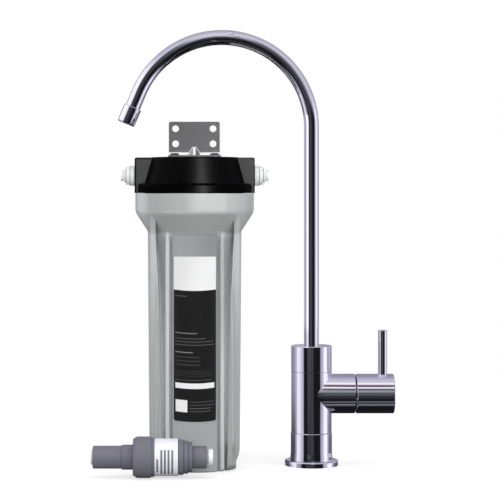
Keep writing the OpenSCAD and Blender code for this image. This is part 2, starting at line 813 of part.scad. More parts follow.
module wall_bracket() {
    inner_corner = [upright_y - bend_r, head_top + bracket_t + bend_r];
    color([0.45, 0.45, 0.46]) difference() {
        union() {
            translate([-bracket_w / 2, -bracket_front, head_top])
                cube([bracket_w, bracket_front + inner_corner[0], bracket_t]);
            upright();
            bend(inner_corner);
            gusset();
        }
        for (x = [-1, 1], row = [0, 1])
            translate([x * wall_hole_spacing_x / 2, upright_y - cut, wall_hole_z - row * wall_hole_spacing_z])
                rotate([-90, 0, 0]) cylinder(h = bracket_t + 2 * cut, d = wall_hole_d);
        for (side = [-1, 1]) translate([side * screw_spacing / 2, -screw_front, head_top - cut])
            cylinder(h = bracket_t + 2 * cut, d = pilot_d);
    }
}

module upright() {
    top = head_top + bracket_h;
    low = head_top + bracket_t + bend_r;
    inset = bracket_w / 2 - bracket_corner_r;
    translate([0, wall_distance, 0]) rotate([90, 0, 0]) linear_extrude(height = bracket_t) union() {
        translate([-bracket_w / 2, low]) square([bracket_w, top - low - bracket_corner_r]);
        translate([-inset, low]) square([2 * inset, top - low]);
        for (side = [-1, 1]) translate([side * inset, top - bracket_corner_r])
            circle(r = bracket_corner_r, $fn = 48);
    }
}

module bend(corner) {
    outer_r = bend_r + bracket_t;
    translate([bracket_w / 2, corner[0], corner[1]]) rotate([0, -90, 0]) linear_extrude(height = bracket_w)
        intersection() {
            difference() {
                circle(r = outer_r);
                circle(r = bend_r);
            }
            translate([-outer_r, 0]) square(outer_r);
        }
}

// The pressed dart that stiffens the bend: a flat ridge across the corner and a flank on each side
module gusset() {
    sink = 0.1;
    foot = head_top + bracket_t - sink;
    back = upright_y + sink;
    ridge = gusset_ridge_w / 2;
    half = gusset_w / 2;
    polyhedron([
        [-ridge, back, foot + gusset_leg], [ridge, back, foot + gusset_leg],
        [-ridge, back - gusset_leg, foot], [ridge, back - gusset_leg, foot],
        [-half, back, foot], [half, back, foot]],
        [[0, 1, 3, 2], [0, 2, 4], [1, 5, 3], [0, 4, 5, 1], [2, 3, 5, 4]]);
}

module bracket_screws() {
    color([0.75, 0.75, 0.76]) for (side = [-1, 1])
        translate([side * screw_spacing / 2, -screw_front, head_top + bracket_t + seat_gap]) difference() {
            union() {
                rotate_extrude() polygon([
                    [0, 0], [screw_head_d / 2, 0], [screw_head_d / 2, screw_head_h * 0.35],
                    [screw_head_d * 0.42, screw_head_h * 0.75], [screw_head_d * 0.28, screw_head_h],
                    [0, screw_head_h]]);
                translate([0, 0, -bracket_t - screw_shank_l + cut])
                    cylinder(h = bracket_t + screw_shank_l, d = screw_shank_d);
            }
            for (turn = [0, 90]) rotate(turn) translate([-screw_head_d / 4, -0.5, screw_head_h - screw_recess])
                cube([screw_head_d / 2, 1, screw_recess + cut]);
        }
}

// Push-fit fittings of the housing

module fitting(side) {
    color([0.92, 0.94, 0.93]) at_port(side) difference() {
        union() {
            rod_x(-fitting_nose_l - cut, 0, fitting_nose_d);
            rod_x(-fitting_nose_l - fitting_step_l, -fitting_nose_l, fitting_step_d);
            rod_x(-fitting_l + seat_gap, -fitting_nose_l - fitting_step_l + cut / 2, fitting_ring_d);
            rod_x(-fitting_l - port_thread_depth + 1, -fitting_l + cut, port_thread_d - 2 * seat_gap);
        }
        hose_socket();
        rod_x(-fitting_l - port_thread_depth, 0, water_d);
    }
}

module fitting_ring(side) {
    color([0.1, 0.1, 0.1]) at_port(side) hose_seal();
}

// The seal ring round the hose, in a socket with the mouth at the origin
module hose_seal() {
    seal_ring_x(-hose_ring_u, fitting_bore_d / 2 - ring_room - hose_ring_t / 2, hose_ring_t);
}

module fitting_collet(side) {
    color([0.97, 0.97, 0.97]) at_port(side) collet(collet_gap, collet_flange_t, collet_flange_d);
}

module inlet_fitting() fitting(-1);
module outlet_fitting() fitting(1);
module inlet_o_ring() fitting_ring(-1);
module outlet_o_ring() fitting_ring(1);
module inlet_collet() fitting_collet(-1);
module outlet_collet() fitting_collet(1);

// Cartridge

module end_cap() {
    rotate_extrude() polygon([
        [core_bore_d / 2, 0], [cartridge_d / 2, 0], [cartridge_d / 2, end_cap_t + end_cap_lip],
        [cartridge_d / 2 - cap_lip_wall, end_cap_t + end_cap_lip],
        [cartridge_d / 2 - cap_lip_wall, end_cap_t],
        [core_bore_d / 2, end_cap_t]]);
}

module cartridge_bottom_cap() {
    color([0.9, 0.9, 0.88]) translate([0, 0, cartridge_z + gasket_t]) end_cap();
}

module cartridge_top_cap() {
    color([0.9, 0.9, 0.88]) translate([0, 0, cartridge_top - gasket_t]) mirror([0, 0, 1]) end_cap();
}

module cartridge_gaskets() {
    color([0.15, 0.15, 0.15]) {
        tube_z(cartridge_z, cartridge_z + gasket_t - seat_gap, gasket_d, core_bore_d);
        tube_z(cartridge_top - gasket_t + seat_gap, cartridge_top, gasket_d, core_bore_d);
    }
}

module cartridge_core() {
    pitch = (block_top - block_z) / core_hole_rows;
    color([0.85, 0.87, 0.88]) difference() {
        tube_z(block_z + seat_gap, block_top - seat_gap, core_d, core_bore_d);
        for (row = [0:core_hole_rows - 1], turn = [0, 90])
            translate([0, 0, block_z + (row + 0.5) * pitch]) rotate([90, 0, turn])
                cylinder(h = core_d + 2 * cut, d = core_hole_d, center = true);
    }
}

module carbon_block() {
    color([0.12, 0.12, 0.12])
        tube_z(block_z + seat_gap, block_top - seat_gap, block_d, core_d + 2 * seat_gap);
}

module cartridge_wrap() {
    color([0.95, 0.95, 0.93])
        tube_z(block_z + seat_gap, block_top - seat_gap, wrap_d, wrap_d - 2 * wrap_wall);
}

// Faucet column

module base_flange() {
    edge_r = 1.5;
    color([0.8, 0.8, 0.84]) at_faucet() difference() {
        rotate_extrude() polygon(concat(
            [[0, 0], [flange_d / 2, 0]],
            [for (a = [0:15:90]) [flange_d / 2 - edge_r, flange_h - edge_r] + edge_r * [cos(a), sin(a)]],
            [[0, flange_h]]));
        translate([0, 0, -cut]) cylinder(h = flange_h + 2 * cut, d = foot_hole_d);
        tube_z(-cut, gasket_seat_t, gasket_seat_d, gasket_seat_bore_d);
    }
}

module base_gasket() {
    color([0.15, 0.15, 0.15]) at_faucet()
        tube_z(0, gasket_seat_t - seat_gap, gasket_seat_d - 2 * seat_gap, gasket_seat_bore_d + 2 * seat_gap);
}

module faucet_base() {
    color([0.8, 0.8, 0.84]) at_faucet() difference() {
        union() {
            rotate_extrude() polygon([
                [0, base_z + seat_gap], [base_d / 2 + base_flare, base_z + seat_gap],
                [base_d / 2 + base_flare, base_z + 3], [base_d / 2, base_z + 7], [base_d / 2, body_z - edge],
                [base_d / 2 - edge, body_z], [0, body_z]]);
            translate([0, 0, flange_h - base_foot_h]) cylinder(h = base_foot_h + cut, d = base_foot_d);
            translate([0, 0, body_z - cut]) cylinder(h = joint_l + cut, d = joint_d);
        }
        translate([0, 0, -cut]) cylinder(h = shank_depth + cut + flange_h - base_foot_h, d = shank_thread_d);
        cylinder(h = body_z + joint_l + cut, d = riser_bore_d);
        translate([0, 0, base_ring_z - small_ring_t / 2 - ring_room])
            tube_z(0, small_ring_t + 2 * ring_room, joint_d + cut, joint_d - 2 * small_ring_t);
    }
}

module base_o_ring() {
    color([0.1, 0.1, 0.1]) at_faucet() translate([0, 0, base_ring_z])
        seal_ring(joint_d / 2 + ring_room / 2 - small_ring_t / 2, small_ring_t);
}

module faucet_body() {
    color([0.8, 0.8, 0.84]) difference() {
        union() {
            at_faucet() {
                translate([0, 0, body_z + seat_gap]) cylinder(h = body_h - seat_gap, d = body_d);
                translate([0, 0, collar_z - cut]) cylinder(h = neck_h + cut, d = neck_d);
            }
            at_branch() branch();
        }
        at_faucet() {
            translate([0, 0, body_z - cut]) cylinder(h = joint_l + 0.2 + cut, d = joint_d + 2 * seat_gap);
            translate([0, 0, body_z]) cylinder(h = chamber_end_z - body_z, d = chamber_d);
            translate([0, 0, tail_room_z]) cylinder(h = body_h, d = tail_bore_d);
            translate([0, 0, bush_z - seat_gap]) cylinder(h = body_h, d = bush_d + 2 * seat_gap);
        }
        at_branch() {
            rod_x(socket_start, branch_end + cut, cartridge_valve_d);
            for (side = [-1, 1]) translate([0, 0, side * valve_port_offset])
                rod_x(faucet_x, socket_start + cut, valve_port_d);
        }
        at_faucet() translate([0, 0, outlet_port_z])
            cylinder(h = tail_room_z - outlet_port_z + cut, d = riser_bore_d);
    }
}

module branch() {
    r = branch_d / 2;
    rotate([0, 90, 0]) rotate_extrude() polygon([
        [0, faucet_x], [r, faucet_x], [r, branch_end - gap_chamfer], [r - gap_chamfer, branch_end],
        [0, branch_end]]);
}

module faucet_collar() {
    color([0.8, 0.8, 0.84]) at_faucet() difference() {
        rotate_extrude() polygon([
            [0, collar_z + seat_gap], [collar_d / 2 - edge, collar_z + seat_gap],
            [collar_d / 2, collar_z + edge], [collar_d / 2, collar_top - edge],
            [collar_d / 2 - edge, collar_top], [0, collar_top]]);
        translate([0, 0, collar_z - cut]) cylinder(h = neck_h + seat_gap + cut, d = neck_d + 2 * seat_gap);
        translate([0, 0, collar_z]) cylinder(h = collar_h + cut, d = tube_d + 2 * free_gap);
    }
}

// Spout

module spout_bush() {
    color([0.9, 0.9, 0.88]) at_faucet() tube_z(bush_z, bush_z + bush_l, bush_d, tube_d + 2 * running);
}

module spout_tail() {
    color([0.8, 0.66, 0.35]) at_faucet() difference() {
        union() {
            translate([0, 0, tail_z]) cylinder(h = tail_l, d = tail_d);
            translate([0, 0, tail_z + tail_l - cut])
                cylinder(h = tail_spigot_l + cut, d = tube_bore_d - 2 * seat_gap);
        }
        translate([0, 0, tail_z - cut]) cylinder(h = tail_l + tail_spigot_l + 2 * cut, d = riser_bore_d);
        for (z = spout_ring_z)
            tube_z(z - spout_ring_t / 2 - ring_room, z + spout_ring_t / 2 + ring_room,
                   tail_d + cut, 2 * spout_ring_r - spout_ring_t - 2 * ring_room);
    }
}

module spout_o_rings() {
    color([0.1, 0.1, 0.1]) at_faucet() for (z = spout_ring_z) translate([0, 0, z])
        seal_ring(spout_ring_r, spout_ring_t);
}

// The gooseneck's bend, a torus of tube with its ends at the riser and at the tip
module spout_bend() {
    translate([arc_x, faucet_back, arc_z]) rotate([90, 0, 0]) rotate_extrude(angle = arc_sweep)
        translate([neck_r, 0]) difference() {
            circle(d = tube_d);
            circle(d = tube_bore_d);
        }
}

// Places parts at the end of the gooseneck, +Z pointing back into it
module at_tip() {
    translate([arc_end_x, faucet_back, arc_end_z]) rotate([0, tip_angle, 0]) children();
}

module spout_tube() {
    color([0.8, 0.8, 0.84]) union() {
        at_faucet() tube_z(tube_start_z + seat_gap, arc_z, tube_d, tube_bore_d);
        spout_bend();
        at_tip() tube_z(-tip_straight - nozzle_overlap, tip_lap,
                        tube_d - 2 * tip_step, tube_bore_d + 2 * tip_step);
    }
}

module spout_nozzle() {
    edge_r = 1.5;
    color([0.8, 0.8, 0.84]) at_tip() translate([0, 0, -tip_straight - nozzle_l]) difference() {
        rotate_extrude() polygon(concat(
            [[0, 0]],
            [for (a = [0:15:90]) [nozzle_d / 2 - edge_r + edge_r * sin(a), edge_r - edge_r * cos(a)]],
            [[nozzle_d / 2, nozzle_l - 0.5], [nozzle_d / 2 - 0.5, nozzle_l], [0, nozzle_l]]));
        translate([0, 0, -cut]) cylinder(h = nozzle_l + 2 * cut, d = outlet_d);
        translate([0, 0, nozzle_l - nozzle_overlap - seat_gap]) cylinder(h = nozzle_l, d = nozzle_bore_d);
        translate([0, 0, -cut])
            cylinder(h = cut + mesh_t + aerator_l + aerator_seal_t + 3 * seat_gap,
                     d = aerator_d + 2 * seat_gap);
    }
}

module aerator() {
    color([0.85, 0.85, 0.85]) at_tip() translate([0, 0, -tip_straight - nozzle_l + mesh_t]) difference() {
        cylinder(h = aerator_l, d = aerator_d);
        translate([0, 0, mesh_t]) cylinder(h = aerator_l, d = aerator_d - 2.4);
        for (turn = [0:45:315]) rotate(turn) translate([aerator_d * 0.27, 0, -cut])
            cylinder(h = 2 * cut + mesh_t, d = 1.6, $fn = 24);
        translate([0, 0, -cut]) cylinder(h = 2 * cut + mesh_t, d = 2, $fn = 24);
    }
}

module aerator_seal() {
    color([0.1, 0.1, 0.1]) at_tip()
        translate([0, 0, -tip_straight - nozzle_l + mesh_t + aerator_l + seat_gap])
            tube_z(0, aerator_seal_t, aerator_d, outlet_d - 1);
}

// Lever valve

module port_holes(from, to) {
    for (side = [-1, 1]) translate([0, 0, side * valve_port_offset]) rod_x(from, to, valve_port_d);
}

module valve_gasket() {
    color([0.1, 0.1, 0.1]) at_branch() difference() {
        rod_x(socket_start + seat_gap, socket_start + valve_gasket_t, cartridge_valve_d - 1);
        port_holes(socket_start - cut, socket_start + valve_gasket_t + cut);
    }
}

module valve_cage() {
    color([0.8, 0.66, 0.35]) at_branch() difference() {
        rod_x(cage_start, cage_end, cartridge_valve_d - 2 * seat_gap);
        rod_x(cage_start - cut, driver_start + driver_t + running, disc_d + 4 * running);
        rod_x(cage_start, cage_end + cut, spindle_bore_d);
    }
}

module fixed_disc() {
    color([0.95, 0.95, 0.93]) at_branch() difference() {
        rod_x(disc_start, disc_start + disc_t, disc_d);
        port_holes(disc_start - cut, disc_start + disc_t + cut);
    }
}

// The slot in this disc joins the two ports when the lever is a quarter turn open
module moving_disc() {
    pocket_l = 2 * valve_port_offset + valve_port_d;
    color([0.93, 0.93, 0.9]) at_branch() difference() {
        rod_x(moving_start, moving_start + disc_t, disc_d);
        translate([moving_start - cut, -pocket_l / 2, -valve_port_d / 4])
            cube([cut + disc_t / 2, pocket_l, valve_port_d / 2]);
        translate([moving_start + disc_t - tang_h, -disc_d, -tang_w / 2])
            cube([tang_h + cut, 2 * disc_d, tang_w]);
    }
}

module spindle() {
    color([0.8, 0.66, 0.35]) at_branch() difference() {
        union() {
            rod_x(driver_start, driver_start + driver_t, disc_d - 0.4);
            rod_x(driver_start + driver_t - cut / 2, nut_end + 0.5, spindle_d);
            rod_x(nut_end, spindle_end, spindle_end_d);
            translate([driver_start - tang_h, -tang_l / 2, -tang_w / 2 + 2 * seat_gap])
                cube([tang_h + 0.1, tang_l, tang_w - 4 * seat_gap]);
        }
        tube_x(spindle_ring_x - small_ring_t / 2 - ring_room, spindle_ring_x + small_ring_t / 2 + ring_room,
               spindle_d + cut, spindle_d - 2 * small_ring_t);
    }
}

module spindle_o_ring() {
    color([0.1, 0.1, 0.1]) at_branch()
        seal_ring_x(spindle_ring_x, spindle_bore_d / 2 - ring_room / 2 - small_ring_t / 2, small_ring_t);
}

module valve_nut() {
    color([0.8, 0.66, 0.35]) at_branch()
        tube_x(nut_start, nut_end, cartridge_valve_d - 2 * seat_gap, spindle_d + 2 * free_gap);
}

module handle_hub() {
    r = branch_d / 2;
    color([0.8, 0.8, 0.84]) at_branch() difference() {
        rotate([0, 90, 0]) rotate_extrude() polygon([
            [0, hub_start], [r - gap_chamfer, hub_start], [r, hub_start + gap_chamfer],
            [r, hub_end - edge], [r - edge, hub_end], [0, hub_end]]);
        rod_x(hub_start - cut, hub_start + hub_bore_l, spindle_end_d + 2 * seat_gap);
        rod_x(hub_start - cut, hub_start + 3, cartridge_valve_d);
        translate([faucet_x + lever_x, 0, r - lever_seat])
            cylinder(h = lever_seat + cut, d = lever_d + 2 * seat_gap);
        translate([hub_screw_x, 0, -r - cut]) cylinder(h = r + cut, d = hub_screw_d + 2 * seat_gap);
    }
}

module hub_screw() {
    top = -spindle_end_d / 2 - seat_gap;
    color([0.3, 0.3, 0.3]) at_branch() translate([hub_screw_x, 0, top - hub_screw_l]) difference() {
        cylinder(h = hub_screw_l, d = hub_screw_d);
        translate([0, 0, -cut]) cylinder(h = 2 + cut, d = hub_screw_d / 2, $fn = 6);
    }
}

module lever_rod() {
    seat = branch_z + branch_d / 2 - lever_seat + seat_gap;
    r = lever_d / 2;
    edge_r = 0.8;
    color([0.8, 0.8, 0.84]) translate([faucet_x + lever_x, faucet_back, 0]) rotate_extrude() polygon(concat(
        [[0, seat], [r, seat]],
        [for (a = [0:15:90]) [r - edge_r + edge_r * cos(a), lever_top - edge_r + edge_r * sin(a)]],
        [[0, lever_top]]));
}

// Pressure limiting valve

module plv_inlet_half() {
    color([0.46, 0.46, 0.51]) at_plv() difference() {
        rotate([0, 90, 0]) rotate_extrude() polygon([
            [0, plv_left], [plv_stem_d / 2 - 1, plv_left], [plv_stem_d / 2, plv_left + 1],
            [plv_stem_d / 2, plv_ring_x], [plv_ring_d / 2, plv_ring_x], [plv_ring_d / 2, plv_bonnet_x],
            [plv_bonnet_d / 2 - plv_bonnet_chamfer * 0.6, plv_bonnet_x],
            [plv_bonnet_d / 2, plv_bonnet_x + plv_bonnet_chamfer],
            [plv_bonnet_d / 2, plv_step_x - plv_bonnet_chamfer * 0.5],
            [plv_step_d / 2, plv_step_x], [plv_step_d / 2, plv_split_x], [0, plv_split_x]]);
        rod_x(plv_left - cut, plv_left + plv_in_recess, plv_in_flange_d + 2 * free_gap);
        translate([plv_left + plv_in_recess, 0, 0]) mirror([1, 0, 0]) hose_socket();
        rod_x(plv_left, nozzle_x + cut / 2, water_d);
        difference() {
            rod_x(nozzle_x - 1, plv_split_x, guide_d);
            rod_x(nozzle_x - 2, nozzle_x, nozzle_seat_d);
        }
        rod_x(plv_cavity_x, plv_split_x + cut, plv_joint_d + 2 * seat_gap);
    }
}

module plv_outlet_half() {
    color([0.46, 0.46, 0.51]) at_plv() difference() {
        rotate([0, 90, 0]) rotate_extrude() polygon([
            [0, plv_joint_x], [plv_joint_d / 2, plv_joint_x], [plv_joint_d / 2, plv_split_x + seat_gap],
            [plv_sleeve_d / 2, plv_split_x + seat_gap], [plv_sleeve_d / 2, plv_rib_a_x],
            [plv_rib_a_d / 2, plv_rib_a_x], [plv_rib_a_d / 2, plv_rib_b_x],
            [plv_rib_b_d / 2, plv_rib_b_x], [plv_rib_b_d / 2, plv_rib_c_x],
            [plv_rib_c_d / 2, plv_rib_c_x], [plv_rib_c_d / 2, plv_neck_x],
            [plv_neck_d / 2, plv_neck_x], [plv_neck_d / 2, plv_right - 0.8],
            [plv_neck_d / 2 - 0.8, plv_right], [0, plv_right]]);
        rod_x(plv_joint_x - cut, plv_bore_end_x, plv_bore_d);
        translate([plv_right, 0, 0]) hose_socket();
        rod_x(plv_bore_end_x - cut, plv_right, water_d);
    }
}

module plv_label() {
    color([0.92, 0.92, 0.96]) at_plv()
        tube_x(plv_split_x + free_gap, plv_rib_a_x - seat_gap,
               plv_sleeve_d + 2 * seat_gap + 2 * label_t, plv_sleeve_d + 2 * seat_gap);
}

module plv_piston() {
    ring_x = piston_head_x + piston_head_t / 2;
    color([0.85, 0.85, 0.82]) at_plv() difference() {
        union() {
            rod_x(piston_start_x, piston_head_x + cut, piston_stem_d);
            rod_x(piston_head_x, piston_end_x, piston_d);
        }
        rod_x(piston_start_x - cut, piston_start_x + seat_t, seat_d + 2 * seat_gap);
        rod_x(piston_start_x + piston_web, piston_end_x + cut, piston_bore_d);
        translate([piston_start_x + piston_web, 0, 0])
            cylinder(h = 2 * piston_stem_d, d = piston_side_hole_d, center = true);
        tube_x(ring_x - piston_ring_t / 2 - ring_room, ring_x + piston_ring_t / 2 + ring_room,
               plv_bore_d, plv_bore_d - 2 * piston_ring_t - 4 * ring_room);
        tube_x(stem_ring_x - small_ring_t / 2 - ring_room, stem_ring_x + small_ring_t / 2 + ring_room,
               guide_d, guide_d - 2 * small_ring_t - 4 * ring_room);
    }
}

module plv_piston_o_rings() {
    color([0.1, 0.1, 0.1]) at_plv() {
        seal_ring_x(piston_head_x + piston_head_t / 2,
                    plv_bore_d / 2 - ring_room - piston_ring_t / 2, piston_ring_t);
        seal_ring_x(stem_ring_x, guide_d / 2 - ring_room - small_ring_t / 2, small_ring_t);
    }
}

module plv_seat() {
    color([0.1, 0.1, 0.1]) at_plv()
        rod_x(piston_start_x + seat_gap, piston_start_x + seat_t - seat_gap, seat_d);
}

// The spring is a tube of six sides swept along a helix, a ring of points at each step
module plv_spring() {
    sides = 6;
    steps = 12;
    rings = floor(spring_turns * steps);
    rise = spring_l - spring_wire_d - 4 * ring_room;
    wire_r = spring_wire_d / 2;
    start = plv_cavity_x + 2 * ring_room + wire_r;
    function ring_point(i, j) =
        let (turn = 360 * i / steps, around = 360 * j / sides, r = spring_d / 2 + wire_r * cos(around))
        [start + rise * i / rings + wire_r * sin(around), r * cos(turn), r * sin(turn)];
    points = [for (i = [0:rings], j = [0:sides - 1]) ring_point(i, j)];
    walls = [for (i = [0:rings - 1], j = [0:sides - 1])
        let (a = i * sides + j, b = i * sides + (j + 1) % sides)
        each [[a, b, b + sides], [a, b + sides, a + sides]]];
    first = [for (j = [1:sides - 2]) [0, j + 1, j]];
    last = [for (j = [1:sides - 2]) [rings * sides, rings * sides + j, rings * sides + j + 1]];
    color([0.7, 0.7, 0.72]) at_plv() polyhedron(points, concat(walls, first, last));
}

module plv_inlet_collet() {
    color([0.93, 0.93, 0.97]) at_plv() translate([plv_left + plv_in_recess, 0, 0]) mirror([1, 0, 0])
        collet(collet_travel + free_gap, plv_in_flange_t, plv_in_flange_d);
}

module plv_outlet_collet() {
    color([0.97, 0.97, 0.98]) at_plv() translate([plv_right, 0, 0])
        collet(collet_gap, plv_out_flange_t, plv_out_flange_d);
}

module plv_inlet_o_ring() {
    color([0.1, 0.1, 0.1]) at_plv() translate([plv_left + plv_in_recess, 0, 0]) mirror([1, 0, 0]) hose_seal();
}

module plv_outlet_o_ring() {
    color([0.1, 0.1, 0.1]) at_plv() translate([plv_right, 0, 0]) hose_seal();
}

wall_bracket();
bracket_screws();
filter_head();
inlet_fitting();
outlet_fitting();
inlet_o_ring();
outlet_o_ring();
inlet_collet();
outlet_collet();
bowl();
bowl_o_ring();
front_label();
cartridge_top_cap();
cartridge_bottom_cap();
cartridge_gaskets();
cartridge_core();
carbon_block();
cartridge_wrap();
base_flange();
base_gasket();
faucet_base();
base_o_ring();
faucet_body();
faucet_collar();
spout_bush();
spout_tail();
spout_o_rings();
spout_tube();
spout_nozzle();
aerator_seal();
aerator();
valve_gasket();
valve_cage();
fixed_disc();
moving_disc();
spindle();
spindle_o_ring();
valve_nut();
handle_hub();
hub_screw();
lever_rod();
plv_inlet_half();
plv_outlet_half();
plv_label();
plv_piston();
plv_piston_o_rings();
plv_seat();
plv_spring();
plv_inlet_collet();
plv_outlet_collet();
plv_inlet_o_ring();
plv_outlet_o_ring();
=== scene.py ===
import bpy
import bmesh
import json
import math
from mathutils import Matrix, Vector


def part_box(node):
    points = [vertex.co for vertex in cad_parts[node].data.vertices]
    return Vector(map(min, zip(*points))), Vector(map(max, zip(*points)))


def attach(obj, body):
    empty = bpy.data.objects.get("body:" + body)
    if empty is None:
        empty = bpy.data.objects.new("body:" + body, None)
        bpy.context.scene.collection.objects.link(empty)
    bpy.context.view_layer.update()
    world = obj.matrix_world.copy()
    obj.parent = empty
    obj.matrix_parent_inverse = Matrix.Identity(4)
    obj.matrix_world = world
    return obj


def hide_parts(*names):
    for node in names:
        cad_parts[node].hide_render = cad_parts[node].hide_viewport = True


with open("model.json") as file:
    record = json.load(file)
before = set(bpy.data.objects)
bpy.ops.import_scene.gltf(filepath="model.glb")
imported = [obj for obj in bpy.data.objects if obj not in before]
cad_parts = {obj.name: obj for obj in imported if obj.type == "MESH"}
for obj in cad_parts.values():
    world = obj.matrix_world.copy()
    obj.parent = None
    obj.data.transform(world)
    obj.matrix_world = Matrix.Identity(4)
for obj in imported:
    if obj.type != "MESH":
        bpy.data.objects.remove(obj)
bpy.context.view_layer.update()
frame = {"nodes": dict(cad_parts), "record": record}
NODES = frame["nodes"]


# ---------------------------------------------------------------- sizes, in metres, as in part.scad

# the bowl
BOWL_H = 0.2594
RIM_H = 0.0176
CONE_H = 0.0181
RIM_R = 0.0563
SIDE_TOP = 0.0445
SIDE_BOTTOM = 0.0429
FOOT_R = 0.0395
FOOT_CORNER_R = 0.0478
FOOT_CUT_R = 0.0415
FOOT_CUT_H = 0.0058
FOOT_H = 0.009
SIDE_Z = 0.017
GROOVE_R = 0.0385
PANEL_R = 0.0426
PANEL_X = 0.0207
RIB_X = 0.0235
RIB_END = 0.0274
WEDGE_X = 0.0298
WEDGE_END = 0.0344
FIN_X = 0.0368
FIN_END = 0.0419
REACH = 0.0365
SLOT_DEPTH = 0.0019
RIM_Z = BOWL_H - RIM_H
CONE_Z = RIM_Z - CONE_H
WEDGE_TOP = CONE_Z - 0.0557
WEDGE_KNEE = CONE_Z - 0.0657
FLOOR_T = 0.006
SEAT_H = 0.002
SEAT_OUTER_R = 0.012
SEAT_INNER_R = 0.008
BORE_R = 0.0355
SOCKET_R = 0.0473
SOCKET_Z = 0.2403
SEAL_SEAT_R = 0.05055
SEAL_SEAT_Z = 0.2561

# the label film
LABEL_Z = 0.0474
LABEL_TOP = CONE_Z - 0.023
LABEL_HALF_W = 0.0196
LABEL_INNER_R = 0.04265
LABEL_OUTER_R = 0.04295

# the head's ports and the wall bracket
PORT_FACE_Y = 0.014
PORT_TOP = 0.2933
LEG_TOP = 0.2956
BEND_TOP = 0.3000
GUSSET_TOP = 0.3052

# the spout
FAUCET_Y = 0.011
BEND_R = 0.0857
TIP_ANGLE = 23.0  # degrees from straight down
TIP_STRAIGHT = 0.0155
TUBE_WALL = 0.001


# ---------------------------------------------------------------- sizes of the scene alone

# how finely the replaced pieces are made
CORNER_STEPS = 5
LABEL_COLUMNS = 48
LABEL_ROWS = 60
TUBE_TURNS = 120
TUBE_SIDES = 64

# fillets and edges of the replaced pieces, and the bevels of the others
CONE_FILLET = 0.0030
RIM_FILLET = 0.0022
RIM_EDGE = 0.0009
FOOT_FILLET = 0.003
FOOT_EDGE = 0.0012
FLOOR_FILLET = 0.003
LABEL_CORNER = 0.0016
LABEL_DIP = 0.0010
BEVEL_SEGMENTS = 3
BEVEL_ANGLE = 35.0  # degrees; duller edges stay as they are

# the card, the floor and the lamps
CARD_X = 0.076
CARD_NEAR = FAUCET_Y - 0.039
CARD_FAR = FAUCET_Y + 0.22
CARD_LOW = 0.001
CARD_HIGH = 0.331
FLOOR_HALF = 30.0
MIDDLE = (0.03, 0.0, 0.17)

# the camera, measured on the photograph
PHOTO_PX = 500.0
FOCAL_PX = 1894.7
SENSOR_MM = 36.0
CAMERA_AT = (-0.010, -1.8, 0.2579)
CAMERA_SHIFT = (0.1318, -0.11)


# ---------------------------------------------------------------- node helpers

class Nodes:
    """Short ways to add shader nodes to one tree."""

    def __init__(self, tree):
        self.tree = tree
        tree.nodes.clear()

    def add(self, kind, inputs=None, **props):
        node = self.tree.nodes.new(kind)
        for key, value in props.items():
            setattr(node, key, value)
        for key, value in (inputs or {}).items():
            self.set(node, key, value)
        return node

    def set(self, node, key, value):
        socket = node.inputs[key]
        if isinstance(value, bpy.types.NodeSocket):
            self.tree.links.new(value, socket)
        else:
            socket.default_value = value

    def output(self, kind, shader):
        self.add(kind, {0: shader.outputs[0]})

    def coordinate(self, kind):
        return self.add("ShaderNodeTexCoord").outputs[kind]

    def split(self, vector):
        return self.add("ShaderNodeSeparateXYZ", {"Vector": vector}).outputs

    def math(self, op, a, b=0.0):
        return self.add("ShaderNodeMath", {0: a, 1: b}, operation=op).outputs[0]

    def absolute(self, value):
        return self.math("ABSOLUTE", value)

    def times(self, first, *others):
        for other in others:
            first = self.math("MULTIPLY", first, other)
        return first

    def mix(self, factor, a, b):
        return self.add("ShaderNodeMix", {0: factor, 6: a, 7: b}, data_type="RGBA").outputs[2]

    def mixf(self, factor, a, b):
        return self.add("ShaderNodeMix", {0: factor, 2: a, 3: b}, data_type="FLOAT").outputs[0]

    def noise(self, vector, scale, detail, rough, stretch=None):
        if stretch:
            mapping = self.add("ShaderNodeMapping", {"Vector": vector, "Scale": stretch})
            vector = mapping.outputs[0]
        node = self.add("ShaderNodeTexNoise", {"Vector": vector, "Scale": scale, "Detail": detail,
                                               "Roughness": rough})
        return node.outputs["Fac"]

    def span(self, value, low, high, to_low=0.0, to_high=1.0, smooth=True):
        """Goes from to_low to to_high while the value goes from low to high."""
        node = self.add("ShaderNodeMapRange", {"Value": value, "From Min": low, "From Max": high,
                                               "To Min": to_low, "To Max": to_high},
                        interpolation_type="SMOOTHSTEP" if smooth else "LINEAR")
        return node.outputs[0]

    def fall(self, value, low, high):
        """1 up to low, falling to 0 at high."""
        return self.span(value, low, high, 1.0, 0.0)

    def box(self, value, low, high, soft):
        """1 between low and high, falling to 0 over soft outside them."""
        return self.times(self.span(value, low - soft, low), self.fall(value, high, high + soft))

    def ramp(self, factor, stops):
        node = self.add("ShaderNodeValToRGB", {"Fac": factor})
        ramp = node.color_ramp
        while len(ramp.elements) > 1:
            ramp.elements.remove(ramp.elements[-1])
        for i, (place, colour) in enumerate(stops):
            stop = ramp.elements[0] if i == 0 else ramp.elements.new(place)
            stop.position = place
            stop.color = rgba(colour)
        return node.outputs[0]

    def blend(self, factor, first, second):
        """The first shader where the factor is 0, and the second where it is 1."""
        return self.add("ShaderNodeMixShader",
                        {0: factor, 1: first.outputs[0], 2: second.outputs[0]})


def rgba(colour):
    return (*colour, 1.0)


def tint(colour, factor):
    return rgba([min(1.0, c * factor) for c in colour])


def empty_material(name):
    mat = bpy.data.materials.new(name)
    mat.use_nodes = True
    return mat, Nodes(mat.node_tree)


def new_material(name):
    """A material with one Principled shader, and its object coordinates."""
    mat, n = empty_material(name)
    bsdf = n.add("ShaderNodeBsdfPrincipled")
    n.output("ShaderNodeOutputMaterial", bsdf)
    return mat, n, bsdf, n.coordinate("Object")


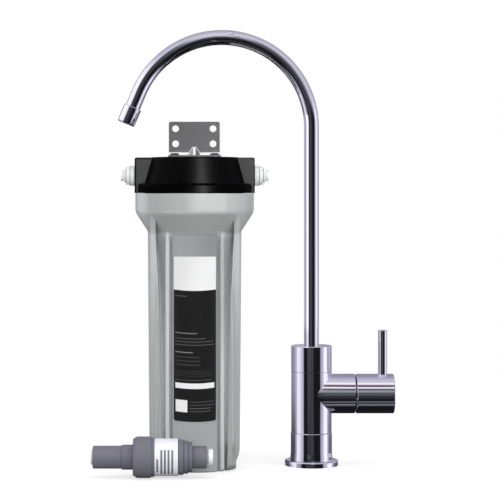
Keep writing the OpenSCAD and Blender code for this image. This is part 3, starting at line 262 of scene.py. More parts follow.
def bump(n, bsdf, height, strength, distance):
    node = n.add("ShaderNodeBump", {"Height": height, "Strength": strength, "Distance": distance})
    n.set(bsdf, "Normal", node.outputs[0])


def grained(n, bsdf, grain, dark, light, rough, strength, distance):
    """Colour, roughness and relief that all follow one grain."""
    n.set(bsdf, "Base Color", n.mix(grain, rgba(dark), rgba(light)))
    n.set(bsdf, "Roughness", n.span(grain, *rough))
    bump(n, bsdf, grain, strength, distance)


def plastic(name, colour, rough, specular, grain, depth, mottle, wear,
            step_shades=(), mirrored=False, step_shade_tint=0.5):
    """Moulded plastic: faint flow mottling, a fine spark-eroded grain and slightly worn edges.

    At given places along X, painted shade darkens the corner between two steps.
    """
    mat, n, bsdf, where = new_material(name)
    cloud = n.noise(where, 18.0, 3.0, 0.6)
    fine = n.noise(where, grain, 2.0, 0.6)
    flow = n.noise(where, 60.0, 2.0, 0.5, stretch=(1.0, 1.0, 0.25))
    base = n.mix(cloud, tint(colour, 1.0 - mottle), tint(colour, 1.0 + mottle))
    base = n.mix(n.span(flow, 0.45, 0.75, 0.0, 0.35), base, tint(colour, 1.0 + 1.5 * mottle))
    edge = n.add("ShaderNodeNewGeometry").outputs["Pointiness"]
    base = n.mix(n.span(edge, 0.52, 0.6, 0.0, wear * 4), base, tint(colour, 1.25))
    along = n.split(where)[0]
    if mirrored:
        along = n.absolute(along)
    # painted shade in the corners between two steps
    for low, high in step_shades:
        base = n.mix(n.box(along, low, high, 0.00015), base, tint(colour, step_shade_tint))
    n.set(bsdf, "Base Color", base)
    n.set(bsdf, "Roughness", n.mixf(cloud, rough - 0.05, rough + 0.06))
    n.set(bsdf, "Specular IOR Level", specular)
    bump(n, bsdf, fine, depth, 0.00012)
    return mat


def metal(name, colour, rough, spread, grain, depth, stretch=None):
    """Bare or plated metal: faint lay of the polish in roughness and bump."""
    mat, n, bsdf, where = new_material(name)
    cloud = n.noise(where, 24.0, 3.0, 0.6)
    lay = n.noise(where, grain, 2.0, 0.5, stretch=stretch)
    n.set(bsdf, "Base Color", n.mix(cloud, tint(colour, 0.985), tint(colour, 1.015)))
    n.set(bsdf, "Roughness", n.mixf(lay, max(0.0, rough - spread), rough + spread))
    n.set(bsdf, "Metallic", 1.0)
    bump(n, bsdf, lay, depth, 0.00005)
    return mat


# ---------------------------------------------------------------- materials

def chrome_material():
    """Bright plating with a faint smear in its gloss."""
    colour = (0.84, 0.83, 0.90)
    mat, n, bsdf, where = new_material("chrome_plating")
    cloud = n.noise(where, 30.0, 3.0, 0.6)
    smear = n.noise(where, 90.0, 3.0, 0.6, stretch=(1.0, 1.0, 0.3))
    n.set(bsdf, "Base Color", n.mix(cloud, tint(colour, 0.985), tint(colour, 1.01)))
    n.set(bsdf, "Roughness", n.span(smear, 0.35, 0.75, 0.024, 0.052))
    n.set(bsdf, "Metallic", 1.0)
    bump(n, bsdf, n.noise(where, 55.0, 1.0, 0.4), 0.05, 0.0001)
    return mat


def bowl_material():
    """Grey polypropylene with flow lines and light ribs and rim; label lands painted darker as
    shade, and painted shade and painted light in soft patches.

    The shades are the ones that the photograph shows and an even light doesn't give.
    """
    colour = (0.545, 0.558, 0.558)
    # the darker grey of the painted shade on the label lands
    land = (0.345, 0.355, 0.36)
    mat, n, bsdf, where = new_material("bowl_grey")
    x, y, z = n.split(where)
    across, ahead = n.absolute(x), n.absolute(y)
    cloud = n.noise(where, 14.0, 3.0, 0.6)
    flow = n.noise(where, 40.0, 3.0, 0.55, stretch=(1.0, 1.0, 0.12))
    fine = n.noise(where, 1100.0, 2.0, 0.6)
    base = n.mix(cloud, tint(colour, 0.96), tint(colour, 1.04))
    base = n.mix(n.span(flow, 0.4, 0.8, 0.0, 0.12), base, tint(colour, 1.06))

    # painted shade: the label lands are darker, darker still to the right, and lighter towards the
    # bottom
    land_shade = n.times(n.fall(across, 0.0205, 0.0215), n.span(ahead, 0.034, 0.036),
                    n.fall(z, CONE_Z - 0.003, CONE_Z + 0.002))
    land_shade_colour = n.mix(n.span(x, -0.02, 0.02), tint(land, 0.95), tint(land, 0.74))
    land_shade_colour = n.mix(n.span(z, 0.015, 0.10, 0.8, 0.0), land_shade_colour, tint(land, 1.2))
    base = n.mix(land_shade, base, land_shade_colour)

    # painted light in the valleys between ribs; painted shade on the front of the cone, the rim's
    # left and right, the outer ribs, the right inner rib and the toes
    front = n.fall(y, -0.02, 0.0)
    valley_light = n.times(n.fall(ahead, 0.0335, 0.0345), n.span(z, 0.08, 0.19, 1.0, 0.35),
                      n.span(across, 0.024, 0.026), n.span(ahead, 0.010, 0.020))
    cone = n.times(n.span(z, CONE_Z - 0.004, CONE_Z + 0.001),
                   n.fall(z, RIM_Z - 0.003, RIM_Z + 0.002),
                   n.span(across, 0.0336, 0.0532, 1.0, 0.25))
    rim_left_shade = n.times(n.span(z, RIM_Z - 0.001, RIM_Z + 0.003), front,
                       n.span(x, -0.052, -0.036), n.fall(x, -0.012, 0.004))
    outer_rib_shade = n.times(n.span(ahead, 0.0352, 0.0362), n.span(across, 0.0285, 0.0300),
                         n.span(z, 0.10, 0.21, 1.0, 0.35))
    right_rib_shade = n.times(n.box(x, 0.0225, 0.0280, 0.0010), n.span(ahead, 0.0335, 0.0350),
                        n.fall(z, CONE_Z - 0.008, CONE_Z - 0.002), n.span(z, 0.09, 0.15))
    toe_shade = n.times(n.fall(z, 0.020, 0.030), n.span(across, 0.0275, 0.0300))
    rim_right_shade = n.times(n.span(z, CONE_Z, CONE_Z + 0.004), n.span(x, 0.034, 0.050), front)
    # each painted light or painted shade tints the grey lighter or darker
    for mask, factor in [(valley_light, 1.45), (cone, 0.62), (rim_left_shade, 0.74), (outer_rib_shade, 0.66),
                         (right_rib_shade, 0.80), (toe_shade, 0.68), (rim_right_shade, 0.78)]:
        base = n.mix(mask, base, tint(colour, factor))
    n.set(bsdf, "Base Color", base)
    n.set(bsdf, "Roughness", n.mixf(cloud, 0.42, 0.54))
    n.set(bsdf, "Specular IOR Level", n.mixf(toe_shade, 0.35, 0.04))
    bump(n, bsdf, fine, 0.22, 0.0001)
    return mat


def head_material():
    """Black polypropylene: a satin cap and flange, and flat port faces painted paler as a painted
    sheen, and duller.
    """
    mat, n, bsdf, where = new_material("head_black")
    x, y, z = n.split(where)
    facing = n.split(n.coordinate("Normal"))
    cloud = n.noise(where, 16.0, 3.0, 0.6)
    fine = n.noise(where, 1400.0, 2.0, 0.6)
    # painted sheen: the flat port faces get a paler grey
    port_face_sheen = n.times(n.span(n.absolute(facing[1]), 0.985, 0.998),
                   n.span(n.absolute(x), 0.030, 0.036),
                   n.box(n.absolute(y), PORT_FACE_Y - 0.0003, PORT_FACE_Y + 0.0003, 0.0004),
                   n.fall(z, PORT_TOP - 0.0022, PORT_TOP - 0.0016),
                   n.span(x, -0.0553, -0.0548))
    base = n.mix(cloud, rgba((0.0006, 0.0006, 0.0006)), rgba((0.0012, 0.0012, 0.0012)))
    n.set(bsdf, "Base Color", n.mix(port_face_sheen, base, rgba((0.050, 0.050, 0.050))))
    n.set(bsdf, "Roughness", n.mixf(port_face_sheen, n.mixf(cloud, 0.30, 0.36), 0.6))
    n.set(bsdf, "Specular IOR Level", n.span(z, 0.2676, 0.2690, 0.009, 0.03))
    bump(n, bsdf, fine, 0.12, 0.00006)
    return mat


LABEL_SPLIT = 0.1688  # height at which black ends and white begins
LABEL_SAG = 3.2  # the print rises towards both sides by this times x squared

LABEL_FIELDS = [  # left, right, bottom, top
    (-0.0180, 0.0179, 0.0780, 0.0829), (-0.0178, -0.0071, 0.0561, 0.0672)]

LABEL_RULES = [  # left, right, bottom, top, shade
    (-0.0180, -0.0078, 0.1634, 0.1640, 0.10), (-0.0180, 0.0021, 0.1290, 0.1297, 0.20),
    (-0.0180, 0.0104, 0.1242, 0.1247, 0.10), (-0.0180, 0.0162, 0.1212, 0.1217, 0.10),
    (-0.0180, 0.0176, 0.1182, 0.1187, 0.10), (-0.0180, -0.0021, 0.1112, 0.1119, 0.22),
    (-0.0180, 0.0046, 0.1070, 0.1074, 0.08), (-0.0180, 0.0046, 0.1034, 0.1038, 0.08),
    (-0.0180, 0.0046, 0.0998, 0.1002, 0.08), (-0.0180, 0.0156, 0.0940, 0.0943, 0.05),
    (-0.0180, 0.0171, 0.0918, 0.0921, 0.05), (-0.0180, 0.0171, 0.0896, 0.0899, 0.05),
    (-0.0180, 0.0156, 0.0856, 0.0860, 0.09), (-0.0050, 0.0176, 0.0655, 0.0659, 0.09),
    (-0.0050, 0.0176, 0.0625, 0.0629, 0.09), (-0.0050, 0.0147, 0.0594, 0.0599, 0.12),
    (-0.0050, 0.0147, 0.0567, 0.0571, 0.12)]


def label_material():
    """A film label, white above and black below, with plain fields and rules and no lettering."""
    white = (0.80, 0.80, 0.805)
    black = (0.0125, 0.0125, 0.0125)
    soft = 0.00015
    mat, n, bsdf, where = new_material("front_label_film")
    x, y, z = n.split(where)
    level = n.math("SUBTRACT", z, n.times(x, x, LABEL_SAG))

    def bar(left, right, bottom, top):
        return n.times(n.box(x, left, right, soft), n.box(level, bottom, top, soft))

    # painted sheen: the white is darker towards the upper left and lighter towards the lower right
    slant = n.math("ADD", x, n.times(z, -0.4))
    painted_sheen = n.mix(n.span(slant, -0.09, -0.06), tint(white, 0.93), tint(white, 1.03))
    base = n.mix(n.span(level, LABEL_SPLIT, LABEL_SPLIT + 0.0003), rgba(black), painted_sheen)
    for field in LABEL_FIELDS:
        base = n.mix(bar(*field), base, tint(white, 1.02))
    for *rule, shade in LABEL_RULES:
        base = n.mix(bar(*rule), base, rgba((shade, shade, shade)))
    fleck = n.noise(where, 700.0, 2.0, 0.5)
    n.set(bsdf, "Base Color", base)
    n.set(bsdf, "Roughness", n.span(fleck, 0.3, 0.8, 0.34, 0.40))
    n.set(bsdf, "Specular IOR Level", 0.25)
    bump(n, bsdf, fleck, 0.03, 0.00002)
    return mat


VALVE_BARS = [  # left, right, bottom, top
    (-0.0350, -0.0335, 0.0070, 0.0190), (-0.0314, -0.0298, 0.0050, 0.0270),
    (-0.0282, -0.0266, 0.0050, 0.0270), (-0.0249, -0.0233, 0.0050, 0.0270),
    (-0.0215, -0.0199, 0.0050, 0.0270)]


def valve_label_material():
    """A white film with five plain upright bars on its front."""
    mat, n, bsdf, where = new_material("valve_label_film")
    fleck = n.noise(where, 900.0, 2.0, 0.5)
    cloud = n.noise(where, 60.0, 2.0, 0.5)
    x, y, z = n.split(where)
    base = n.mix(cloud, rgba((0.80, 0.80, 0.87)), rgba((0.85, 0.85, 0.92)))
    for left, right, bottom, top in VALVE_BARS:
        bar = n.times(n.box(x, left, right, 0.0002), n.box(z, bottom, top, 0.0003),
                      n.fall(y, -0.0720, -0.0718))
        base = n.mix(bar, base, rgba((0.17, 0.17, 0.19)))
    n.set(bsdf, "Base Color", base)
    n.set(bsdf, "Roughness", n.span(fleck, 0.3, 0.8, 0.3, 0.42))
    bump(n, bsdf, fleck, 0.1, 0.00004)
    return mat


def carbon_material():
    """Pressed carbon: black grains with open pores."""
    mat, n, bsdf, where = new_material("carbon_block")
    grains = n.add("ShaderNodeTexVoronoi", {"Vector": where, "Scale": 1500.0}).outputs["Distance"]
    grained(n, bsdf, grains, (0.008, 0.008, 0.008), (0.04, 0.04, 0.04),
            (0.0, 0.8, 0.6, 0.9), 0.7, 0.0003)
    return mat


def fleece_material():
    """White non-woven fleece: soft fibres that run mostly upright."""
    mat, n, bsdf, where = new_material("fleece")
    fibres = n.noise(where, 900.0, 4.0, 0.7, stretch=(1.0, 1.0, 0.35))
    grained(n, bsdf, fibres, (0.72, 0.72, 0.70), (0.86, 0.86, 0.84),
            (0.2, 0.8, 0.75, 0.95), 0.6, 0.0004)
    n.set(bsdf, "Sheen Weight", 0.3)
    return mat


def seal_material():
    """Black seal rubber with a fine dull grain."""
    mat, n, bsdf, where = new_material("seal_rubber")
    grained(n, bsdf, n.noise(where, 1200.0, 2.0, 0.6), (0.010, 0.010, 0.010), (0.022, 0.022, 0.022),
            (0.2, 0.8, 0.55, 0.75), 0.3, 0.00008)
    return mat


def bracket_material():
    """Coated steel plate: orange-peel coat, faint rolling streaks, painted highlights on bend and
    gusset, and painted shade to the left.
    """
    colour = (0.215, 0.215, 0.218)
    mat, n, bsdf, where = new_material("bracket_coat")
    x, y, z = n.split(where)
    facing = n.split(n.coordinate("Normal"))
    across, sideways = n.absolute(x), n.absolute(facing[0])
    cloud = n.noise(where, 20.0, 3.0, 0.6)
    streak = n.noise(where, 140.0, 2.0, 0.5, stretch=(0.15, 1.0, 1.0))
    peel = n.noise(where, 900.0, 2.0, 0.5)
    base = n.mix(cloud, tint(colour, 0.94), tint(colour, 1.06))
    # painted shade: the plate is darker towards the left
    base = n.mix(n.span(x, -0.024, 0.024), tint(colour, 0.84), base)
    base = n.mix(n.span(streak, 0.45, 0.8, 0.0, 0.3), base, tint(colour, 1.12))

    upright = n.span(y, 0.046, 0.052)
    above_leg = n.span(z, LEG_TOP, LEG_TOP + 0.0004)
    # painted highlight: the bend and the gusset's ridge are painted near-white and less metallic
    bend = n.times(n.span(facing[2], 0.03, 0.15), n.fall(z, BEND_TOP, BEND_TOP + 0.0006),
                   upright, n.fall(sideways, 0.1, 0.3))
    ridge_highlight = n.times(n.box(x, -0.0011, 0.0011, 0.0004), n.span(facing[2], 0.4, 0.6), above_leg)
    bend_and_ridge_highlight = n.math("MAXIMUM", bend, ridge_highlight)
    # painted shade on the gusset's flanks, and a painted highlight on the flank facing left
    flanks = n.times(n.span(sideways, 0.25, 0.4), above_leg, n.fall(across, 0.0085, 0.0095))
    base = n.mix(flanks, base, tint(colour, 0.95))
    flank_highlight = n.times(flanks, n.fall(facing[0], -0.1, 0.1), n.span(peel, 0.40, 0.60, 0.25, 0.9))
    base = n.mix(flank_highlight, base, rgba((0.80, 0.80, 0.80)))
    # painted highlight: light lines along the gusset's edges on the upright's front
    gusset = n.math("ADD", across, n.times(n.math("SUBTRACT", z, GUSSET_TOP), 0.66))
    outline = n.times(n.box(gusset, 0.0010, 0.0020, 0.0003), n.span(z, BEND_TOP - 0.001, BEND_TOP),
                      upright, n.fall(z, GUSSET_TOP, GUSSET_TOP + 0.0003),
                      n.fall(facing[1], -0.3, -0.1), 0.75)
    base = n.mix(outline, base, rgba((0.80, 0.80, 0.80)))
    n.set(bsdf, "Base Color", n.mix(bend_and_ridge_highlight, base, rgba((0.92, 0.92, 0.92))))
    n.set(bsdf, "Roughness", n.mixf(cloud, 0.33, 0.45))
    n.set(bsdf, "Metallic", n.mixf(bend_and_ridge_highlight, 0.35, 0.0))
    bump(n, bsdf, peel, 0.15, 0.00006)
    return mat


# places along X of painted shade in the corners between steps, for the fittings and the valve
FITTING_STEP_SHADES = [(0.0567, 0.0572), (0.0609, 0.0615), (0.0647, 0.0653), (0.0668, 0.0672)]
VALVE_STEP_SHADES = [(-0.0673, -0.0669), (-0.0570, -0.0566), (-0.0392, -0.0389), (-0.0156, -0.0153),
               (-0.0106, -0.0102), (-0.0065, -0.0061), (-0.0025, -0.0021)]

MATERIALS = {
    "bracket_steel": bracket_material(),
    "screw_steel": metal("screw_black_zinc", (0.16, 0.16, 0.17), rough=0.16, spread=0.05,
                         grain=500.0, depth=0.15),
    "black_plastic": head_material(),
    "white_plastic": plastic("fitting_white", (0.88, 0.90, 0.895), rough=0.36, specular=0.45,
                             grain=900.0, depth=0.15, mottle=0.02, wear=0.02,
                             step_shades=FITTING_STEP_SHADES, mirrored=True, step_shade_tint=0.36),
    "black_rubber": seal_material(),
    "collet_plastic": plastic("collet_white", (0.86, 0.86, 0.88), rough=0.28, specular=0.5,
                              grain=700.0, depth=0.08, mottle=0.015, wear=0.02),
    "grey_plastic": bowl_material(),
    "front_label_film": label_material(),
    "cap_plastic": plastic("cap_white", (0.78, 0.78, 0.75), rough=0.45, specular=0.45,
                           grain=900.0, depth=0.2, mottle=0.03, wear=0.03),
    "carbon": carbon_material(),
    "fleece": fleece_material(),
    "chrome": chrome_material(),
    "brass": metal("turned_brass", (0.80, 0.60, 0.30), rough=0.26, spread=0.08,
                   grain=400.0, depth=0.2, stretch=(6.0, 1.0, 6.0)),
    "ceramic": plastic("ceramic", (0.84, 0.84, 0.81), rough=0.12, specular=0.5,
                       grain=600.0, depth=0.02, mottle=0.01, wear=0.0),
    "valve_plastic": plastic("valve_grey", (0.160, 0.158, 0.190), rough=0.46, specular=0.4,
                             grain=1000.0, depth=0.3, mottle=0.05, wear=0.06,
                             step_shades=VALVE_STEP_SHADES, step_shade_tint=0.45),
    "valve_label_film": valve_label_material(),
    "spring_steel": metal("spring_wire", (0.62, 0.62, 0.65), rough=0.25, spread=0.06,
                          grain=800.0, depth=0.1),
}

SLOT_OF = {row["node"]: row["material_slot"] for row in frame["record"]["subparts"]}
for name, obj in NODES.items():
    obj.data.materials.clear()
    obj.data.materials.append(MATERIALS[SLOT_OF[name]])


# ---------------------------------------------------------------- mesh helpers

def mesh_object(name, points, faces, material):
    mesh = bpy.data.meshes.new(name)
    mesh.from_pydata(points, [], faces)
    mesh.validate()
    obj = bpy.data.objects.new(name, mesh)
    bpy.context.scene.collection.objects.link(obj)
    mesh.materials.append(material)
    return obj


def smooth_by_angle(obj, degrees):
    """Smooths all faces, and keeps edges sharper than the angle sharp."""
    for poly in obj.data.polygons:
        poly.use_smooth = True
    bm = bmesh.new()
    bm.from_mesh(obj.data)
    for edge in bm.edges:
        if len(edge.link_faces) == 2:
            edge.smooth = edge.calc_face_angle(0.0) < math.radians(degrees)
    bm.to_mesh(obj.data)
    bm.free()


def lerp(a, b, t):
    return a + (b - a) * t


def clamped(t):
    return min(1.0, max(0.0, t))


def ease(t):
    t = clamped(t)
    return t * t * (3.0 - 2.0 * t)


def wall_y(radius, x):
    """How far from the middle plane a circle lies at x."""
    return math.sqrt(max(0.0, radius * radius - x * x))


def set_back(radius, depth):
    """How far a quarter-round edge stands back at a depth below its start, or 0 beyond it."""
    return radius - wall_y(radius, radius - depth) if depth < radius else 0.0


def near_corner(distance, soft):
    """How much a corner is filled up or cut down where two lines meet softly."""
    near = max(soft - abs(distance), 0.0) / soft
    return near * near * soft * 0.25


def rounded(points, radii, steps):
    """An open chain of corners with each inner corner replaced by an arc of steps + 1 points."""
    out = [points[0]]
    for i in range(1, len(points) - 1):
        here = Vector(points[i])
        to_last = Vector(points[i - 1]) - here
        to_next = Vector(points[i + 1]) - here
        room = min(to_last.length, to_next.length) * 0.49
        a, b = to_last.normalized(), to_next.normalized()
        half = math.acos(max(-1.0, min(1.0, a.dot(b)))) / 2
        bent = 0.01 < half < math.pi / 2 - 0.01
        back = min(radii[i] / math.tan(half), room) if bent else room * 0.02
        start, end = here + a * back, here + b * back
        for k in range(steps + 1):
            t = k / steps
            out.append(tuple(start * (1 - t) ** 2 + here * (2 * t * (1 - t)) + end * t ** 2))
    out.append(points[-1])
    return out


# ---------------------------------------------------------------- the bowl

def cone_radius(z):
    """Outer radius of the round upper part: the cone, then the rim with its soft edge."""
    cone = SIDE_TOP + (z - CONE_Z) * (RIM_R - SIDE_TOP) / CONE_H
    cone = max(cone, GROOVE_R) + near_corner(cone - GROOVE_R, CONE_FILLET)
    radius = min(cone, RIM_R) - near_corner(cone - RIM_R, RIM_FILLET)
    return max(radius - set_back(RIM_EDGE, BOWL_H - z), 0.0)


def flared(start, z):
    """A width that is straight up to the foot's height and then widens with its chamfer."""
    slope = (SIDE_BOTTOM - FOOT_R) / (SIDE_Z - FOOT_H)
    above = z - FOOT_H
    return start + slope * (max(0.0, above) + near_corner(above, FOOT_FILLET))


def foot_cut(z):
    """Radius of the round outline that cuts the lower ends of the ribs."""
    rise = FOOT_CUT_R + z * (FOOT_CORNER_R - FOOT_CUT_R) / FOOT_CUT_H
    return min(rise, flared(FOOT_CORNER_R, z))


def side_width(z):
    """Half the width over the two sides."""
    t = clamped((z - SIDE_Z) / (CONE_Z - SIDE_Z))
    return min(lerp(SIDE_BOTTOM, SIDE_TOP, t), flared(FOOT_R, z))


def fin_outer(z):
    """Where the fin ends and the round side begins."""
    return min(FIN_END, side_width(z) - 0.0010)


def wedge_inner(z):
    """Inner edge of the wedge, which leans out to the fin, and faster above its knee."""
    middle = (WEDGE_X + FIN_X) / 2
    if z < WEDGE_KNEE:
        return lerp(WEDGE_X, middle, z / WEDGE_KNEE)
    t = min(1.0, (z - WEDGE_KNEE) / (CONE_Z - WEDGE_KNEE))
    return min(lerp(middle, FIN_X, t), FIN_X - 0.0003)


def quarter_outline(z):
    """The bowl's outline at a height, from the middle of the front to the middle of the side.

    Returns the corners and the rounding of each: panel, rib, wedge, slot, fin and round side.
    """
    wedge = wedge_inner(z)
    wedge_end = max(WEDGE_END, wedge + 0.0002)
    closed = ease((z - (WEDGE_TOP - 0.004)) / 0.010)
    slot = REACH - lerp(SLOT_DEPTH, 0.0001, closed)
    side = side_width(z)
    fin_end = fin_outer(z)
    panel = [i / 6 * PANEL_X for i in range(6)]
    corners = [(x, -wall_y(PANEL_R, x), 0.0) for x in panel]
    corners += [
        (PANEL_X, -wall_y(PANEL_R, PANEL_X), 0.0011),
        (PANEL_X + 0.0004, -wall_y(GROOVE_R, PANEL_X), 0.0009),
        (RIB_X - 0.0003, -wall_y(GROOVE_R, RIB_X), 0.0010),
        (RIB_X, -REACH, 0.0015),
        (RIB_END, -REACH, 0.0015),
        (RIB_END + 0.0003, -wall_y(GROOVE_R, RIB_END), 0.0012),
        (wedge - 0.0003, -wall_y(GROOVE_R, wedge), 0.0012),
        (wedge, -REACH, 0.0012),
        (wedge_end, -REACH, 0.0010),
        (wedge_end + 0.0002, -slot, 0.0008),
        (max(FIN_X - 0.0002, wedge_end + 0.0003), -slot, 0.0008),
        (max(FIN_X, wedge_end + 0.0004), -REACH, 0.0014),
        (fin_end, -REACH, 0.0020),
        (fin_end + 0.0002, -wall_y(side, fin_end + 0.0002), 0.0030)]
    start = math.asin(min(1.0, (fin_end + 0.0002) / side))
    for i in range(1, 7):
        a = lerp(start, math.pi / 2, i / 6)
        corners.append((side * math.sin(a), -side * math.cos(a), 0.0))
    return [(x, y) for x, y, r in corners], [r for x, y, r in corners]


def ring_at(z):
    """The quarter outline with rounded corners, merged with cone and rim and cut at the foot."""
    chain, radii = quarter_outline(z)
    lift = cone_radius(z) if z > CONE_Z - 0.020 else 0.0
    limit = foot_cut(z)
    back = set_back(FOOT_EDGE, z)
    beside = False
    out = []
    for x, y in rounded(chain, radii, CORNER_STEPS):
        beside = beside or x >= fin_outer(z) - 0.0003
        r = math.hypot(x, y)
        if lift > 0.0:
            if not beside:
                y = -max(-y, wall_y(lift, x))
            elif r < lift:
                x, y = x * lift / r, y * lift / r
            r = math.hypot(x, y)
        if z > RIM_Z - 0.0005 and r > 0.0:
            x, y = x * lift / r, y * lift / r
            r = lift
        if r > limit:
            y = -wall_y(limit, x)
            r = limit
        if back > 0.0:
            x, y = x * (r - back) / r, y * (r - back) / r
        out.append((x, y))
    return out


def full_ring(quarter):
    """Mirrors the quarter outline into a closed ring."""
    right = quarter + [(x, -y) for x, y in reversed(quarter[:-1])]
    left = [(-x, y) for x, y in reversed(right[1:-1])]
    return right + left


def bowl_levels():
    """The heights of the rings, closer where the form changes."""
    levels = [0.0, 0.0002, 0.0005, 0.0009, 0.0014, 0.002, 0.0026, 0.0033, 0.004, 0.0047, 0.0054,
              0.0062, 0.0075, 0.009, 0.0105, 0.012]
    for z, end, step in [(0.015, WEDGE_KNEE - 0.004, 0.006),
                         (WEDGE_KNEE - 0.004, CONE_Z - 0.018, 0.0014),
                         (CONE_Z - 0.018, RIM_Z - 0.001, 0.0008)]:
        while z < end:
            levels.append(z)
            z += step
    levels += [RIM_Z + dz for dz in (-0.0006, 0.0, 0.0008, 0.0016, 0.0024, 0.004, 0.008, 0.013)]
    return levels + [BOWL_H - dz for dz in (0.0009, 0.0006, 0.0003, 0.0001, 0.0)]


def build_bowl():
    """The bowl as one closed skin of rings, up the outside and down the inside."""
    rings = [(z, full_ring(ring_at(z))) for z in bowl_levels()]
    count = len(rings[0][1])
    top = rings[-1][1]
    inside = [(BOWL_H, SEAL_SEAT_R + 0.0002), (BOWL_H - 0.0002, SEAL_SEAT_R),
              (SEAL_SEAT_Z, SEAL_SEAT_R), (SEAL_SEAT_Z, SOCKET_R), (SOCKET_Z, SOCKET_R),
              (SOCKET_Z, BORE_R), (FLOOR_T + FLOOR_FILLET, BORE_R),
              (FLOOR_T, BORE_R - FLOOR_FILLET), (FLOOR_T, SEAT_OUTER_R),
              (FLOOR_T + SEAT_H, SEAT_OUTER_R), (FLOOR_T + SEAT_H, SEAT_INNER_R),
              (FLOOR_T, SEAT_INNER_R)]
    for z, radius in inside:
        rings.append((z, [(x * radius / math.hypot(x, y), y * radius / math.hypot(x, y))
                          for x, y in top]))
    points = [(x, y, z) for z, ring in rings for x, y in ring]
    faces = []
    for i in range(len(rings) - 1):
        a, b = i * count, (i + 1) * count
        for j in range(count):
            k = (j + 1) % count
            faces.append((a + j, a + k, b + k, b + j))
    last = (len(rings) - 1) * count
    faces.append(tuple(reversed(range(count))))
    faces.append(tuple(range(last, last + count)))
    obj = mesh_object("bowl_shell", points, faces, MATERIALS["grey_plastic"])
    bm = bmesh.new()
    bm.from_mesh(obj.data)
    bmesh.ops.remove_doubles(bm, verts=bm.verts, dist=1e-6)
    bmesh.ops.recalc_face_normals(bm, faces=bm.faces)
    bm.to_mesh(obj.data)
    bm.free()
    smooth_by_angle(obj, 38)
    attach(obj, "bowl")
    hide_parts("bowl")


# ---------------------------------------------------------------- the front label

def build_label():
    """A thin film on the round land, with rounded corners and a lower edge that dips a little."""
    points = []
    for radius in (LABEL_OUTER_R, LABEL_INNER_R):
        for row in range(LABEL_ROWS + 1):
            for col in range(LABEL_COLUMNS + 1):
                x = lerp(-LABEL_HALF_W, LABEL_HALF_W, col / LABEL_COLUMNS)
                cut = set_back(LABEL_CORNER, LABEL_HALF_W - abs(x))
                low = LABEL_Z + LABEL_DIP * (x / LABEL_HALF_W) ** 2 + cut
                high = LABEL_TOP - cut * 0.35
                points.append((x, -wall_y(radius, x), lerp(low, high, row / LABEL_ROWS)))
    stride = LABEL_COLUMNS + 1
    size = (LABEL_ROWS + 1) * stride
    faces = []
    for row in range(LABEL_ROWS):
        for col in range(LABEL_COLUMNS):
            a = row * stride + col
            b = a + stride
            faces.append((a, a + 1, b + 1, b))
            faces.append((size + a, size + b, size + b + 1, size + a + 1))
    for col in range(LABEL_COLUMNS):
        top = LABEL_ROWS * stride + col
        faces.append((col, size + col, size + col + 1, col + 1))
        faces.append((top, top + 1, size + top + 1, size + top))
    for row in range(LABEL_ROWS):
        a = row * stride
        b = a + stride
        c = a + LABEL_COLUMNS
        d = c + stride
        faces.append((a, b, size + b, size + a))
        faces.append((c, size + c, size + d, d))
    obj = mesh_object("label_film", points, faces, MATERIALS["front_label_film"])
    smooth_by_angle(obj, 40)
    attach(obj, "bowl")
    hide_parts("front_label")


build_bowl()
build_label()


# ---------------------------------------------------------------- the spout tube

def build_spout_tube():
    """The gooseneck as one smooth swept tube, from inside the collar to inside the nozzle."""
    low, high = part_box("spout_tube")
    outer = (high[1] - low[1]) / 2
    axis_x = high[0] - outer
    centre_z = high[2] - outer - BEND_R
    path = [(Vector((axis_x, FAUCET_Y, z)), 0.0)
            for z in (low[2], lerp(low[2], centre_z, 0.5), centre_z)]
    sweep = math.radians(180 - TIP_ANGLE)
    for i in range(1, TUBE_TURNS + 1):
        a = sweep * i / TUBE_TURNS
        place = Vector((axis_x - BEND_R + BEND_R * math.cos(a), FAUCET_Y,
                        centre_z + BEND_R * math.sin(a)))
        path.append((place, a))
    tip, a = path[-1]
    along = Vector((-math.sin(a), 0.0, math.cos(a)))
    path.append((tip + along * TIP_STRAIGHT, a))
    points = []
    for radius in (outer, outer - TUBE_WALL):
        for centre, a in path:
            out = Vector((math.cos(a), 0.0, math.sin(a)))
            for j in range(TUBE_SIDES):
                t = 2 * math.pi * j / TUBE_SIDES
                side = Vector((0, radius * math.sin(t), 0))
                points.append(tuple(centre + out * (radius * math.cos(t)) + side))
    count = len(path)
    faces = []
    for layer in (0, 1):
        for i in range(count - 1):
            for j in range(TUBE_SIDES):
                k = (j + 1) % TUBE_SIDES
                a0 = (layer * count + i) * TUBE_SIDES
                b0 = a0 + TUBE_SIDES
                quad = (a0 + j, b0 + j, b0 + k, a0 + k)
                faces.append(quad if layer == 0 else quad[::-1])
    for i in (0, count - 1):
        for j in range(TUBE_SIDES):
            k = (j + 1) % TUBE_SIDES
            a0, b0 = i * TUBE_SIDES, (count + i) * TUBE_SIDES
            quad = (a0 + j, a0 + k, b0 + k, b0 + j)
            faces.append(quad if i == 0 else quad[::-1])
    obj = mesh_object("spout_gooseneck", points, faces, MATERIALS["chrome"])
    smooth_by_angle(obj, 40)
    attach(obj, "spout")
    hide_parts("spout_tube")


build_spout_tube()


# ---------------------------------------------------------------- softened edges of the solids

SOFT_EDGES = [  # width, nodes
    (0.0006, ["filter_head"]),
    (0.0003, ["inlet_fitting", "outlet_fitting"]),
    (0.0004, ["inlet_collet", "outlet_collet", "bracket_screws"]),
    (0.0003, ["wall_bracket"]),
    (0.0004, ["plv_inlet_half", "plv_outlet_half"]),
    (0.0005, ["plv_inlet_collet", "plv_outlet_collet"]),
    (0.0003, ["spout_nozzle", "lever_rod", "faucet_collar", "faucet_body", "faucet_base",
              "base_flange"]),
]

